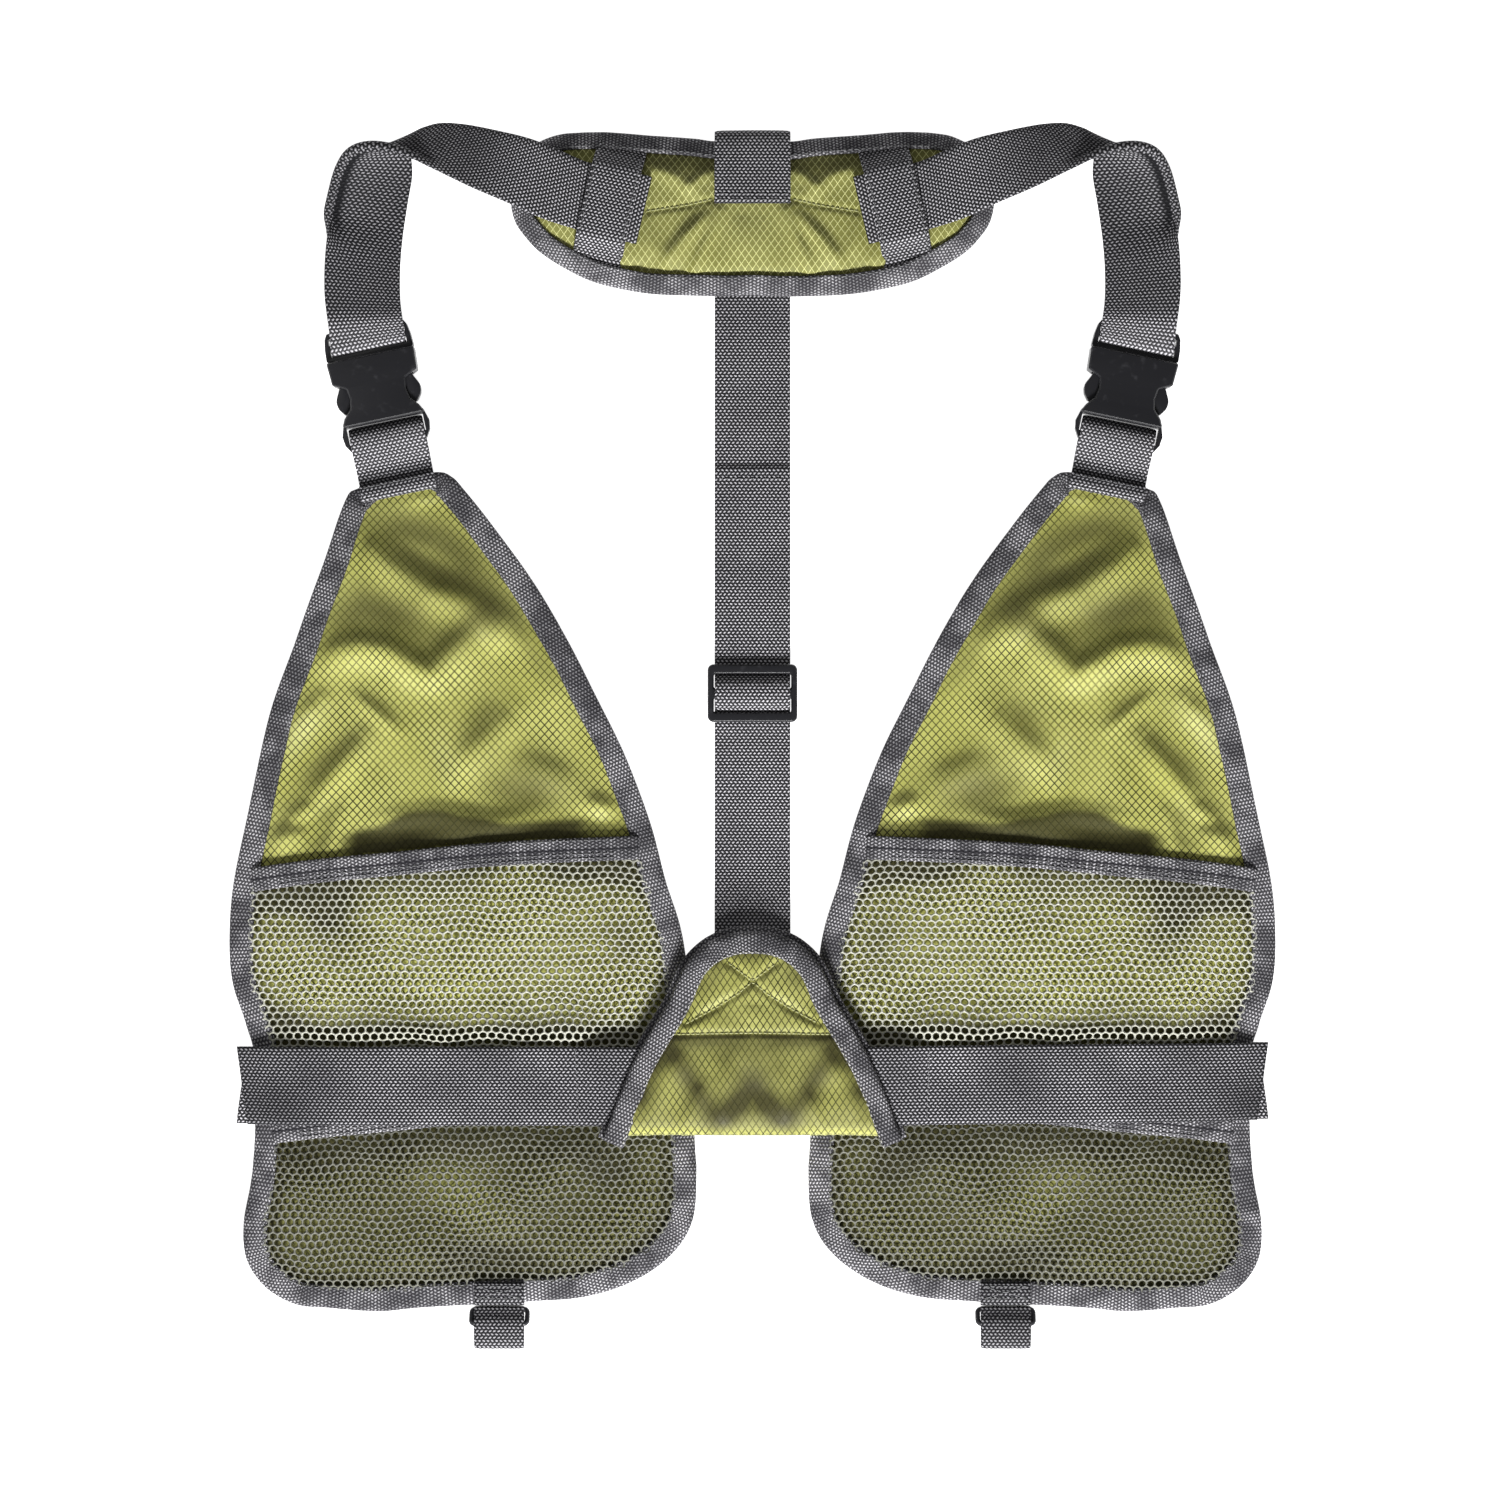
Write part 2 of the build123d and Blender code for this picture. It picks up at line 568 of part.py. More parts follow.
# Bottom tabs: a sewn-down foot, a loop that folds up about it, and a ring
for side, suffix in SIDES:
    tab_plane = Plane.YZ.offset(side * TAB_X)
    foot_end = TAB_HINGE_Y + WEBBING_THICKNESS + CLEARANCE
    with BuildPart() as tab_foot:
        with BuildSketch(tab_plane):
            with Locations((foot_end, TAB_HINGE_Z)):
                Rectangle(TAB_TOP_Y - foot_end, 2 * WEBBING_THICKNESS, align=(Align.MIN, Align.CENTER))
        extrude(amount=NARROW_WEBBING / 2, both=True)
        chamfer(tab_foot.edges().group_by(Axis.Y)[0].sort_by(Axis.Z)[-1], length=1.5)
    save(tab_foot, f"tab_foot_{suffix}")

    with BuildPart() as tab_loop:
        loop_run = [
            (TAB_HINGE_Y, TAB_HINGE_Z + 0.8),
            (TAB_HINGE_Y - 2.0, TAB_HINGE_Z + 0.8),
            (TAB_HINGE_Y - 4.5, 8.4),
            (TAB_END_Y, 8.4),
            (TAB_END_Y, 3.7),
            (TAB_HINGE_Y - 3.5, 3.7),
            (TAB_HINGE_Y - 1.5, TAB_HINGE_Z - 0.8),
            (TAB_HINGE_Y, TAB_HINGE_Z - 0.8),
        ]
        with BuildSketch(tab_plane):
            add(webbing_profile(loop_run, radius=0.8))
            with Locations((TAB_HINGE_Y, TAB_HINGE_Z)):
                Circle(WEBBING_THICKNESS)
        extrude(amount=NARROW_WEBBING / 2, both=True)
    save(tab_loop, f"tab_loop_{suffix}")

    bar_middle = (side * TAB_X, RING_BAR_Y, RING_BAR_Z)
    ring_plane = Plane(origin=bar_middle, x_dir=(1, 0, 0), z_dir=(0, 0, 1)).rotated((-RING_TILT, 0, 0))
    with BuildPart() as tab_ring:
        with BuildLine(ring_plane) as ring_path:
            FilletPolyline(*RING_EDGE, *placed(RING_EDGE, -1)[::-1], radius=RING_CORNER_RADIUS, close=True)
        with BuildSketch(Plane(origin=bar_middle, x_dir=(0, 1, 0), z_dir=(1, 0, 0))):
            Circle(RING_WIRE_RADIUS)
        sweep(path=ring_path.wires()[0])
    save(tab_ring, f"tab_ring_{suffix}")
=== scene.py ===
import json
import math

import bmesh
import bpy
import numpy as np
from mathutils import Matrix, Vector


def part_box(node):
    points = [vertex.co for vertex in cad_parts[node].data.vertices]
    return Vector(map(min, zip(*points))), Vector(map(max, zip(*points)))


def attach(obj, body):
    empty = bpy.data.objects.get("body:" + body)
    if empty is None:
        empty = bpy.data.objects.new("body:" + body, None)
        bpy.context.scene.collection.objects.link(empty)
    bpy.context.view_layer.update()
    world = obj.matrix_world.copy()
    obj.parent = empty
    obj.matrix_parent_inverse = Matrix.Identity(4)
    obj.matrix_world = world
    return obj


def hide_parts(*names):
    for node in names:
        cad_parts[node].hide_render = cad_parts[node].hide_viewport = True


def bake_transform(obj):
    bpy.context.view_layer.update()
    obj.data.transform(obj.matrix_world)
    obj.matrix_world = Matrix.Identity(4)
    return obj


# Harness vest lying flat on a pale table, seen from straight above.
# Lengths in this script are millimetres in the frame's axes; MM turns them
# into metres when a mesh is made. Shapes of the left and right halves come
# from one set of numbers with positive X, and a side of -1 or +1.

MM = 0.001
SIDES = ((-1, "l", "left"), (1, "r", "right"))
WIDE, BELT, NARROW = 38.0, 39.5, 25.0
PANEL_BINDING, YOKE_BINDING, LUMBAR_BINDING = 12.0, 9.5, 11.0
WEB_THICK, CLOTH_THICK = 1.6, 0.7
ORIGIN, ALONG_X, ALONG_Y = np.zeros(3), np.array([1.0, 0, 0]), np.array([0, 1.0, 0])

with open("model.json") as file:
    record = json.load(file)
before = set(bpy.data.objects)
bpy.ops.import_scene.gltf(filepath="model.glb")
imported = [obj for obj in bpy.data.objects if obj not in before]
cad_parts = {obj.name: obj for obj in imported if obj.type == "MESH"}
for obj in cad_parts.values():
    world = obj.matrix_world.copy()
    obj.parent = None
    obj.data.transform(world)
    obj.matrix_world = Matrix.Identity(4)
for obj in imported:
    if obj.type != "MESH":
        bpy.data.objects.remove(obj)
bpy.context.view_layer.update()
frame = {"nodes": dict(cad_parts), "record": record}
scene = bpy.context.scene
SLOTS = {row["node"]: row["material_slot"] for row in frame["record"]["subparts"]}


# ---------------------------------------------------------------- camera

CAMERA_PLACE = (-0.00125, -0.00575, 1.783)


def make_camera():
    """Straight above the vest, looking down, with the yoke at the top."""
    camera = bpy.data.cameras.new("camera")
    camera.lens = 85
    camera.sensor_width = 36
    eye = bpy.data.objects.new("camera", camera)
    eye.location = CAMERA_PLACE
    scene.collection.objects.link(eye)
    scene.camera = eye


make_camera()


# ------------------------------------------------------------- materials

class Graph:
    """Short calls for building one material's node tree."""

    def __init__(self, name):
        self.material = bpy.data.materials.new(name)
        self.material.use_nodes = True
        self.tree = self.material.node_tree
        self.shader = self.tree.nodes["Principled BSDF"]

    def node(self, kind, **settings):
        made = self.tree.nodes.new(kind)
        for key, value in settings.items():
            setattr(made, key, value)
        return made

    def plug(self, value, socket):
        if isinstance(value, bpy.types.NodeSocket):
            self.tree.links.new(value, socket)
        else:
            socket.default_value = value

    def math(self, operation, a, b=0.0, clamp=False):
        made = self.node("ShaderNodeMath", operation=operation, use_clamp=clamp)
        self.plug(a, made.inputs[0])
        self.plug(b, made.inputs[1])
        return made.outputs[0]

    def times(self, a, b, clamp=False):
        return self.math("MULTIPLY", a, b, clamp)

    def plus(self, a, b, clamp=False):
        return self.math("ADD", a, b, clamp)

    def minus(self, a, b):
        return self.math("SUBTRACT", a, b)

    def smooth(self, value, low, high):
        """0 below low, 1 above high, smooth between."""
        made = self.node("ShaderNodeMapRange", interpolation_type="SMOOTHSTEP")
        for value_in, socket in zip((value, low, high, 0.0, 1.0), made.inputs):
            self.plug(value_in, socket)
        return made.outputs[0]

    def mix(self, factor, a, b):
        made = self.node("ShaderNodeMix", data_type="RGBA")
        self.plug(factor, made.inputs[0])
        self.plug(a, made.inputs[6])
        self.plug(b, made.inputs[7])
        return made.outputs[2]

    def noise(self, vector, scale, detail=2.0):
        made = self.node("ShaderNodeTexNoise")
        self.plug(vector, made.inputs["Vector"])
        made.inputs["Scale"].default_value = scale
        made.inputs["Detail"].default_value = detail
        return made.outputs["Fac"]

    def split(self, vector):
        """A vector's first two parts."""
        made = self.node("ShaderNodeSeparateXYZ")
        self.plug(vector, made.inputs[0])
        return made.outputs[0], made.outputs[1]

    def place(self):
        """Object coordinates, which are metres in the frame's axes."""
        return self.node("ShaderNodeTexCoord").outputs["Object"]

    def uv(self):
        """The mesh's own map: millimetres along and across the strip."""
        return self.node("ShaderNodeUVMap", uv_map="strip").outputs[0]

    def stored_shade(self):
        return self.node("ShaderNodeAttribute", attribute_name="shade").outputs["Fac"]

    def shade(self):
        """Painted shade at each point, from the mesh's shade attribute; 0 where the mesh doesn't say."""
        return self.math("MAXIMUM", self.stored_shade())

    def painted_highlight(self):
        """Painted highlight at each point: the part of the mesh's shade below 0, made positive."""
        return self.math("MAXIMUM", self.times(self.stored_shade(), -1.0))

    def yarn_ends(self, along, across, row, dot):
        """Staggered rows of raised yarn ends: 1 at the middle of each, 0 in the gaps."""
        rows = self.times(along, 1 / row)
        odd = self.times(self.math("FLOORED_MODULO", self.math("FLOOR", rows), 2.0), 0.5)
        columns = self.plus(self.times(across, 1 / dot), odd)
        du = self.minus(self.math("FRACT", rows), 0.5)
        dv = self.minus(self.math("FRACT", columns), 0.5)
        lean = self.times(self.minus(odd, 0.25), 1.6)
        du = self.plus(du, self.times(dv, lean))
        squared = self.plus(self.times(du, du), self.times(dv, dv))
        return self.minus(1.0, self.smooth(self.math("SQRT", squared), 0.13, 0.44))

    def bump(self, height, distance, strength=1.0, normal=None):
        made = self.node("ShaderNodeBump")
        made.inputs["Strength"].default_value = strength
        made.inputs["Distance"].default_value = distance
        self.plug(height, made.inputs["Height"])
        if normal is not None:
            self.plug(normal, made.inputs["Normal"])
        return made.outputs[0]

    def finish(self, colour, roughness, normal=None, **fixed):
        self.plug(colour, self.shader.inputs["Base Color"])
        self.plug(roughness, self.shader.inputs["Roughness"])
        if normal is not None:
            self.plug(normal, self.shader.inputs["Normal"])
        for key, value in fixed.items():
            self.shader.inputs[key.replace("_", " ")].default_value = value
        return self.material


def toned(tone, *colour):
    return (*(tone * part for part in colour), 1)


def ripstop_material(name, cell_x, cell_y, line_colour, line_strength, line_edge=0.38, tone=1.0):
    """Nylon ripstop: a diamond grid of raised threads on a fine weave, with painted shade in its creases
    and painted highlights, both from the mesh's shade attribute.
    """
    g = Graph(name)
    place = g.place()
    x, y = g.split(place)
    along = g.times(x, 1 / (cell_x * MM))
    up = g.times(y, 1 / (cell_y * MM))
    lines = []
    for total in (g.plus(along, up), g.minus(along, up)):
        phase = g.math("FRACT", total)
        away = g.math("ABSOLUTE", g.minus(phase, 0.5))
        lines.append(g.smooth(away, line_edge, line_edge + 0.08))
    line = g.math("MAXIMUM", *lines)
    cloud = g.noise(place, 24, 4)
    grain = g.noise(place, 2600, 2)
    shade = g.shade()
    base = g.mix(g.smooth(cloud, 0.3, 0.7), toned(tone, 0.57, 0.57, 0.14), toned(tone, 0.68, 0.68, 0.20))
    base = g.mix(g.times(grain, 0.3), base, toned(tone, 0.20, 0.20, 0.045))
    # Painted shade: the mesh's shade attribute darkens the cloth; painted highlight: its part below 0 turns
    # the cloth pale.
    base = g.mix(shade, base, (0.075, 0.070, 0.022, 1))
    base = g.mix(g.painted_highlight(), base, (0.86, 0.87, 0.40, 1))
    blotch = g.smooth(g.noise(place, 45, 2), 0.3, 0.65)
    uneven = g.plus(g.times(blotch, 0.3), line_strength - 0.3)
    # Painted shade also fades the grid lines.
    uneven = g.times(uneven, g.minus(1.0, g.times(shade, 0.55)))
    colour = g.mix(g.times(line, uneven), base, line_colour)
    normal = g.bump(line, 0.00025, 0.7)
    normal = g.bump(grain, 0.0001, 0.4, normal)
    rough = g.plus(g.times(grain, 0.1), 0.5)
    return g.finish(colour, rough, normal, Sheen_Weight=0.05, Sheen_Roughness=0.4, Specular_IOR_Level=0.25)


def woven_material(name, dot, light, turned=False):
    """Webbing: staggered rows of raised yarn ends, across the strip or, turned, along it, with painted
    shade in the gaps and painted shade and highlights from the mesh's shade attribute.
    """
    # The near-black dark colour is painted shade in the gaps between the yarn ends.
    row, speckle, dark = 1.6, 0.45, (0.009, 0.009, 0.011, 1)
    g = Graph(name)
    place = g.place()
    along, across = g.split(g.uv())
    yarn = g.yarn_ends(across, along, row, dot) if turned else g.yarn_ends(along, across, row, dot)
    grain = g.noise(place, 1700, 3)
    patch = g.noise(place, 26, 3)
    bright = g.times(yarn, g.plus(g.times(grain, speckle * 1.6), 1 - speckle))
    bright = g.plus(bright, g.times(grain, 0.04))
    bright = g.times(bright, g.plus(g.times(patch, 0.9), 0.55), clamp=True)
    # Painted shade from the mesh's shade attribute dims the yarn; painted highlight, where it is below 0,
    # brightens it.
    bright = g.times(bright, g.minus(1.0, g.shade()))
    bright = g.plus(bright, g.times(g.painted_highlight(), g.plus(yarn, 0.1)), clamp=True)
    colour = g.mix(bright, dark, light)
    normal = g.bump(yarn, 0.0005, 0.9)
    normal = g.bump(grain, 0.00012, 0.4, normal)
    return g.finish(colour, 0.72, normal, Sheen_Weight=0.02, Sheen_Roughness=0.5, Specular_IOR_Level=0.12)


def tape_material():
    """Woven binding: fine staggered yarn ends with painted shade between them, lighter and darker patches,
    and a painted shadow along the inner edge.
    """
    g = Graph("grey_tape")
    place = g.place()
    along, across = g.split(g.uv())
    ends = g.yarn_ends(along, across, 1.8, 1.7)
    grain = g.noise(place, 2000, 3)
    patch = g.smooth(g.noise(place, 70, 3), 0.36, 0.64)
    bright = g.times(ends, g.plus(g.times(grain, 0.9), 0.3))
    bright = g.plus(bright, g.times(grain, 0.12))
    bright = g.times(bright, g.plus(g.times(patch, 0.85), 0.4), clamp=True)
    # Painted shadow along the tape's inner edge, where across is near 0; the near-black below is painted
    # shade between the yarn ends.
    bright = g.times(bright, g.smooth(g.math("ABSOLUTE", across), 0.1, 1.0))
    colour = g.mix(bright, (0.026, 0.025, 0.030, 1), (0.72, 0.705, 0.74, 1))
    normal = g.bump(ends, 0.0004, 0.9)
    return g.finish(colour, 0.75, normal, Sheen_Weight=0.03, Sheen_Roughness=0.5, Specular_IOR_Level=0.15)


def net_material():
    """Knitted polyester net: pale strands with a fine twist, darkened by painted shade from the mesh's
    shade attribute.
    """
    g = Graph("pale_net")
    place = g.place()
    twist = g.noise(place, 1900, 3)
    patch = g.noise(place, 30, 3)
    colour = g.mix(twist, (0.42, 0.42, 0.35, 1), (0.78, 0.78, 0.68, 1))
    colour = g.mix(g.times(patch, 0.25), colour, (0.34, 0.35, 0.24, 1))
    # Painted shade from the mesh's shade attribute.
    colour = g.mix(g.shade(), colour, (0.10, 0.10, 0.075, 1))
    return g.finish(colour, 0.55, g.bump(twist, 0.0002, 0.8), Sheen_Weight=0.2, Specular_IOR_Level=0.4)


def plastic_material(name, base, rough):
    """Moulded acetal: faint grain, soft gloss, and scuffs scattered at random."""
    g = Graph(name)
    place = g.place()
    grain = g.noise(place, 2400, 2)
    scuff = g.smooth(g.noise(place, 240, 6), 0.58, 0.78)
    colour = g.mix(g.times(scuff, 0.25), base, (0.075, 0.075, 0.085, 1))
    roughness = g.plus(g.times(scuff, 0.16), rough)
    return g.finish(colour, roughness, g.bump(grain, 0.00004, 0.5), Specular_IOR_Level=0.5)


def thread_material(name, colour_a, colour_b):
    """Sewing thread: twisted ply along each stitch."""
    g = Graph(name)
    twist = g.noise(g.place(), 3200, 2)
    return g.finish(g.mix(twist, colour_a, colour_b), 0.6, g.bump(twist, 0.0001, 0.6), Sheen_Weight=0.15)


PANEL_CLOTH = ripstop_material("panel_ripstop", 4.1, 4.5, (0.022, 0.024, 0.004, 1), 0.97, 0.37)
# The pad cloth's pale grid lines are painted sheen, standing in for light catching its raised threads.
PAD_CLOTH = ripstop_material("pad_ripstop", 3.7, 5.0, (0.96, 0.96, 0.42, 1), 0.88, 0.395, 0.5)
LUMBAR_CLOTH = ripstop_material("lumbar_ripstop", 3.6, 5.4, (0.024, 0.026, 0.005, 1), 0.97, 0.375, 0.74)
WEBBING = woven_material("grey_webbing", 2.15, (0.82, 0.805, 0.85, 1))
BELT_WEBBING = woven_material("belt_webbing", 2.3, (0.80, 0.785, 0.83, 1), True)
TAPE = tape_material()
NET = net_material()
BLACK = plastic_material("black_plastic", (0.014, 0.014, 0.017, 1), 0.36)
RING_BLACK = plastic_material("ring_wire", (0.035, 0.035, 0.04, 1), 0.3)
THREAD = thread_material("grey_thread", (0.12, 0.12, 0.125, 1), (0.3, 0.3, 0.31, 1))
CREAM_THREAD = thread_material("cream_thread", (0.42, 0.41, 0.36, 1), (0.68, 0.67, 0.6, 1))
PALE_THREAD = thread_material("pale_thread", (0.4, 0.41, 0.16, 1), (0.62, 0.62, 0.32, 1))


# ---------------------------------------------------------- mesh helpers

def unit(vectors):
    """The same directions with length 1."""
    vectors = np.asarray(vectors, float)
    return vectors / np.maximum(np.linalg.norm(vectors, axis=-1, keepdims=True), 1e-9)


def curve_through(points, step, closed=False):
    """A smooth line through the points, in even steps."""
    p = np.asarray(points, float)
    if closed:
        p = np.vstack([p[-1:], p, p[:2]])
    else:
        p = np.vstack([2 * p[0] - p[1], p, 2 * p[-1] - p[-2]])
    line = []
    for a, b, c, d in zip(p, p[1:], p[2:], p[3:]):
        t = np.linspace(0, 1, 24, endpoint=False)[:, None]
        line.append(0.5 * (2 * b + (c - a) * t + (2 * a - 5 * b + 4 * c - d) * t ** 2
                           + (3 * b - a - 3 * c + d) * t ** 3))
    line = np.vstack(line + [p[-2:-1]])
    return even_steps(line, step)


def even_steps(line, step):
    """The same line with points one step apart."""
    lengths = run_lengths(line[:, :3])
    count = max(2, int(round(lengths[-1] / step)) + 1)
    where = np.linspace(0, lengths[-1], count)
    return np.stack([np.interp(where, lengths, line[:, k]) for k in range(line.shape[1])], 1)


def run_lengths(line):
    """How far along a line each of its points lies."""
    return np.concatenate([[0], np.cumsum(np.linalg.norm(np.diff(line, axis=0), axis=1))])


def add_mesh(name, verts, faces, material, loop_uv=None):
    """A smooth-shaded object made from millimetre coordinates."""
    mesh = bpy.data.meshes.new(name)
    mesh.from_pydata((np.asarray(verts, float) * MM).tolist(), [], [list(map(int, f)) for f in faces])
    mesh.polygons.foreach_set("use_smooth", [True] * len(mesh.polygons))
    if loop_uv is not None:
        layer = mesh.uv_layers.new(name="strip")
        layer.data.foreach_set("uv", np.asarray(loop_uv, float).ravel())
    mesh.materials.append(material)
    made = bpy.data.objects.new(name, mesh)
    scene.collection.objects.link(made)
    return made


def grid_object(name, grid, uv, material, closed_u=False, closed_v=False, caps=False):
    """A skin over a grid of points, with optional closed directions and end caps."""
    n, m = grid.shape[:2]
    index = np.arange(n * m).reshape(n, m)
    i, j = np.meshgrid(np.arange(n - (not closed_u)), np.arange(m - (not closed_v)), indexing="ij")
    i, j = i.ravel(), j.ravel()
    corners = [(i, j), (i + 1, j), (i + 1, j + 1), (i, j + 1)]
    faces = np.stack([index[a % n, b % m] for a, b in corners], 1).tolist()
    loops = np.stack([uv[a, b] for a, b in corners], 1).reshape(-1, 2).tolist()
    if caps:
        faces += [index[0].tolist(), index[-1, ::-1].tolist()]
        loops += uv[0, :m].tolist() + uv[-1, :m][::-1].tolist()
    made = add_mesh(name, grid.reshape(-1, 3), faces, material, loops)
    tidy_normals(made)
    return made


def tidy_normals(made):
    """Every face turned outward."""
    work = bmesh.new()
    work.from_mesh(made.data)
    bmesh.ops.recalc_face_normals(work, faces=work.faces)
    work.to_mesh(made.data)
    work.free()


def set_shade(made, values):
    """Give each point of a mesh its painted shade, 0 to 1, or its painted highlight, 0 to -1."""
    layer = made.data.attributes.new("shade", "FLOAT", "POINT")
    layer.data.foreach_set("value", np.clip(np.asarray(values, float), -1, 1).ravel())


def step_up(value, low, high):
    """0 below low, 1 above high, smooth between."""
    share = np.clip((np.asarray(value, float) - low) / (high - low), 0, 1)
    return share * share * (3 - 2 * share)


def two_faces(across, half):
    """A ring of (across, height) points: one face and the other face back."""
    return np.concatenate([np.stack([across, half], 1), np.stack([across[::-1], -half[::-1]], 1)])


def bell(distance, width, power=2):
    """1 at no distance, falling smoothly away at about the width."""
    return np.exp(-(distance / width) ** power)


def strip_section(width, thickness):
    """A webbing's cross-section: flat faces and rounded edges, as a ring."""
    share = np.array([-1, -0.985, -0.93, -0.8, -0.55, -0.28, 0, 0.28, 0.55, 0.8, 0.93, 0.985, 1])
    half = thickness / 2 * np.sqrt(np.clip(1 - np.abs(share) ** 14, 0.02, 1))
    return two_faces(share * width / 2, half)


def strip_uv(lengths, across, seam):
    """Millimetres along and across a strip for each point, with the seam's own value last."""
    uv = np.zeros((len(lengths), len(across) + 1, 2))
    uv[..., 0] = lengths[:, None]
    uv[..., 1] = np.append(across, seam)
    return uv


def ribbon(name, route, across, width, material=WEBBING, thickness=WEB_THICK, step=2.0, waver=0.0, seed=1,
           square=True):
    """A webbing strip along a route. across gives its width direction at each point of the route."""
    route = np.asarray(route, float)
    across = np.broadcast_to(np.asarray(across, float), route.shape)
    line = curve_through(np.hstack([route, across]), step)
    path, side = line[:, :3], unit(line[:, 3:])
    along = unit(np.gradient(path, axis=0))
    if square:
        side = unit(side - along * np.sum(side * along, 1, keepdims=True))
    normal = unit(np.cross(side, along))
    ring = strip_section(width, thickness)
    lengths = run_lengths(path)
    grid = path[:, None] + side[:, None] * ring[None, :, :1] + normal[:, None] * ring[None, :, 1:]
    if waver:
        wave = ripple(lengths[:, None] + 31 * seed, ring[None, :, 0], 38.0, seed) * waver
        grid = grid + normal[:, None] * wave[..., None]
    uv = strip_uv(lengths, ring[:, 0], ring[0, 0])
    return grid_object(name, grid, uv, material, closed_v=True, caps=True)


def ripple(x, y, scale, seed):
    """A soft, repeatable unevenness between about -1 and 1."""
    draw = np.random.default_rng(seed)
    total = 0.0
    for _ in range(6):
        angle, phase, size = draw.uniform(0, 2 * math.pi, 3)
        wave = scale * (0.6 + 0.15 * size)
        total = total + np.sin((x * math.cos(angle) + y * math.sin(angle)) * 2 * math.pi / wave + phase)
    return total / 3.2


def ridge(x, y, points, width, height):
    """One soft fold: a smooth ridge along a line of points, fading towards its ends."""
    points = np.asarray(points, float)
    total = run_lengths(points)
    nearest = np.full(np.shape(x), 1e9)
    where = np.zeros(np.shape(x))
    for k, (start, end) in enumerate(zip(points, points[1:])):
        run = end - start
        share = np.clip(((x - start[0]) * run[0] + (y - start[1]) * run[1]) / (run @ run), 0, 1)
        away = np.hypot(x - start[0] - share * run[0], y - start[1] - share * run[1])
        closer = away < nearest
        nearest = np.where(closer, away, nearest)
        where = np.where(closer, (total[k] + share * (total[k + 1] - total[k])) / total[-1], where)
    fade = 0.3 + 0.7 * np.sin(np.pi * np.clip(where, 0.02, 0.98)) ** 0.6
    return height * fade * bell(nearest, width)


def outline_distance(x, y, outline):
    """How far each point lies inside a closed outline, negative outside."""
    shape = np.shape(x)
    p = np.stack([np.ravel(x), np.ravel(y)], 1)
    a, b = outline, np.roll(outline, -1, 0)
    best = np.full(len(p), 1e9)
    inside = np.zeros(len(p), bool)
    for (ax, ay), (bx, by) in zip(a, b):
        run = np.array([bx - ax, by - ay])
        share = np.clip(((p[:, 0] - ax) * run[0] + (p[:, 1] - ay) * run[1]) / (run @ run + 1e-12), 0, 1)
        away = np.hypot(p[:, 0] - ax - share * run[0], p[:, 1] - ay - share * run[1])
        best = np.minimum(best, away)
        crosses = (ay > p[:, 1]) != (by > p[:, 1])
        inside ^= crosses & (p[:, 0] < (bx - ax) * (p[:, 1] - ay) / (by - ay + 1e-12) + ax)
    return np.where(inside, best, -best).reshape(shape)


def inward_normals(outline):
    """Level unit vectors pointing into a closed outline at its points."""
    ahead = np.roll(outline, -1, 0) - np.roll(outline, 1, 0)
    normal = unit(np.stack([-ahead[:, 1], ahead[:, 0]], 1))
    area = np.sum(outline[:, 0] * np.roll(outline[:, 1], -1) - np.roll(outline[:, 0], -1) * outline[:, 1])
    return normal if area > 0 else -normal


def edge_tape(name, outline, width, base, top, closed=True, lift=None, seed=3, share=None, rise=0.0):
    """Folded binding tape round an edge: an upper face that rises inward, a round fold and a lower face."""
    normal = inward_normals(outline) if closed else level_normals(outline)
    middle, thick = (base + top) / 2, (top - base) / 2
    section = []
    for inward, height in ((1.0, 0.45), (0.985, 0.9), (0.9, 1.0), (0.6, 1.06), (0.3, 1.02), (0.12, 0.9),
                           (0.03, 0.6), (0.0, 0.0), (0.03, -0.6), (0.12, -0.9), (0.3, -1.0), (0.6, -1.0),
                           (0.9, -1.0), (0.985, -0.9), (1.0, -0.45)):
        section.append((inward * width, middle + height * thick))
    section = np.array(section)
    section[:, 1] += rise * section[:, 0] / width * (section[:, 1] > middle)
    lengths = run_lengths(np.vstack([outline, outline[:1]]) if closed else outline)
    along = lengths[:len(outline)]
    pucker = 0.30 * ripple(along[:, None], section[None, :, 0] * 1.6, 13.0, seed)
    grid = np.zeros((len(outline), len(section), 3))
    swing = 0.35 * ripple(along, 0 * along, 60.0, seed + 1)
    reach = section[None, :, 0] * (1 + 0.05 * swing[:, None]) + 0.4 * swing[:, None]
    if share is not None:
        reach = reach * share(outline[:, 0], outline[:, 1])[:, None]
    grid[..., :2] = outline[:, None] + normal[:, None] * reach[..., None]
    grid[..., 2] = section[None, :, 1] + pucker * (section[None, :, 1] > middle)
    if lift is not None:
        grid[..., 2] += lift(grid[..., 0], grid[..., 1]) * (section[None, :, 1] < middle)
    grid[..., 2] = np.maximum(grid[..., 2], 0.02)
    over = np.concatenate([[0], np.cumsum(np.hypot(*np.diff(section, axis=0).T))])
    uv = strip_uv(lengths, over, over[-1] + 1)
    return grid_object(name, grid, uv, TAPE, closed_u=closed, closed_v=True, caps=not closed)


def at_height(line, z):
    """A level line's points, all at one height."""
    return np.hstack([line, np.full((len(line), 1), z)])


def raised(start, along, heights):
    """A route of points, each given by its distance along a level line and its height."""
    return [start + along * u + np.array([0, 0, z]) for u, z in heights]


def level_normals(line):
    """Level unit vectors to the left of an open line."""
    ahead = np.gradient(line[:, :2], axis=0)
    return unit(np.stack([-ahead[:, 1], ahead[:, 0]], 1))


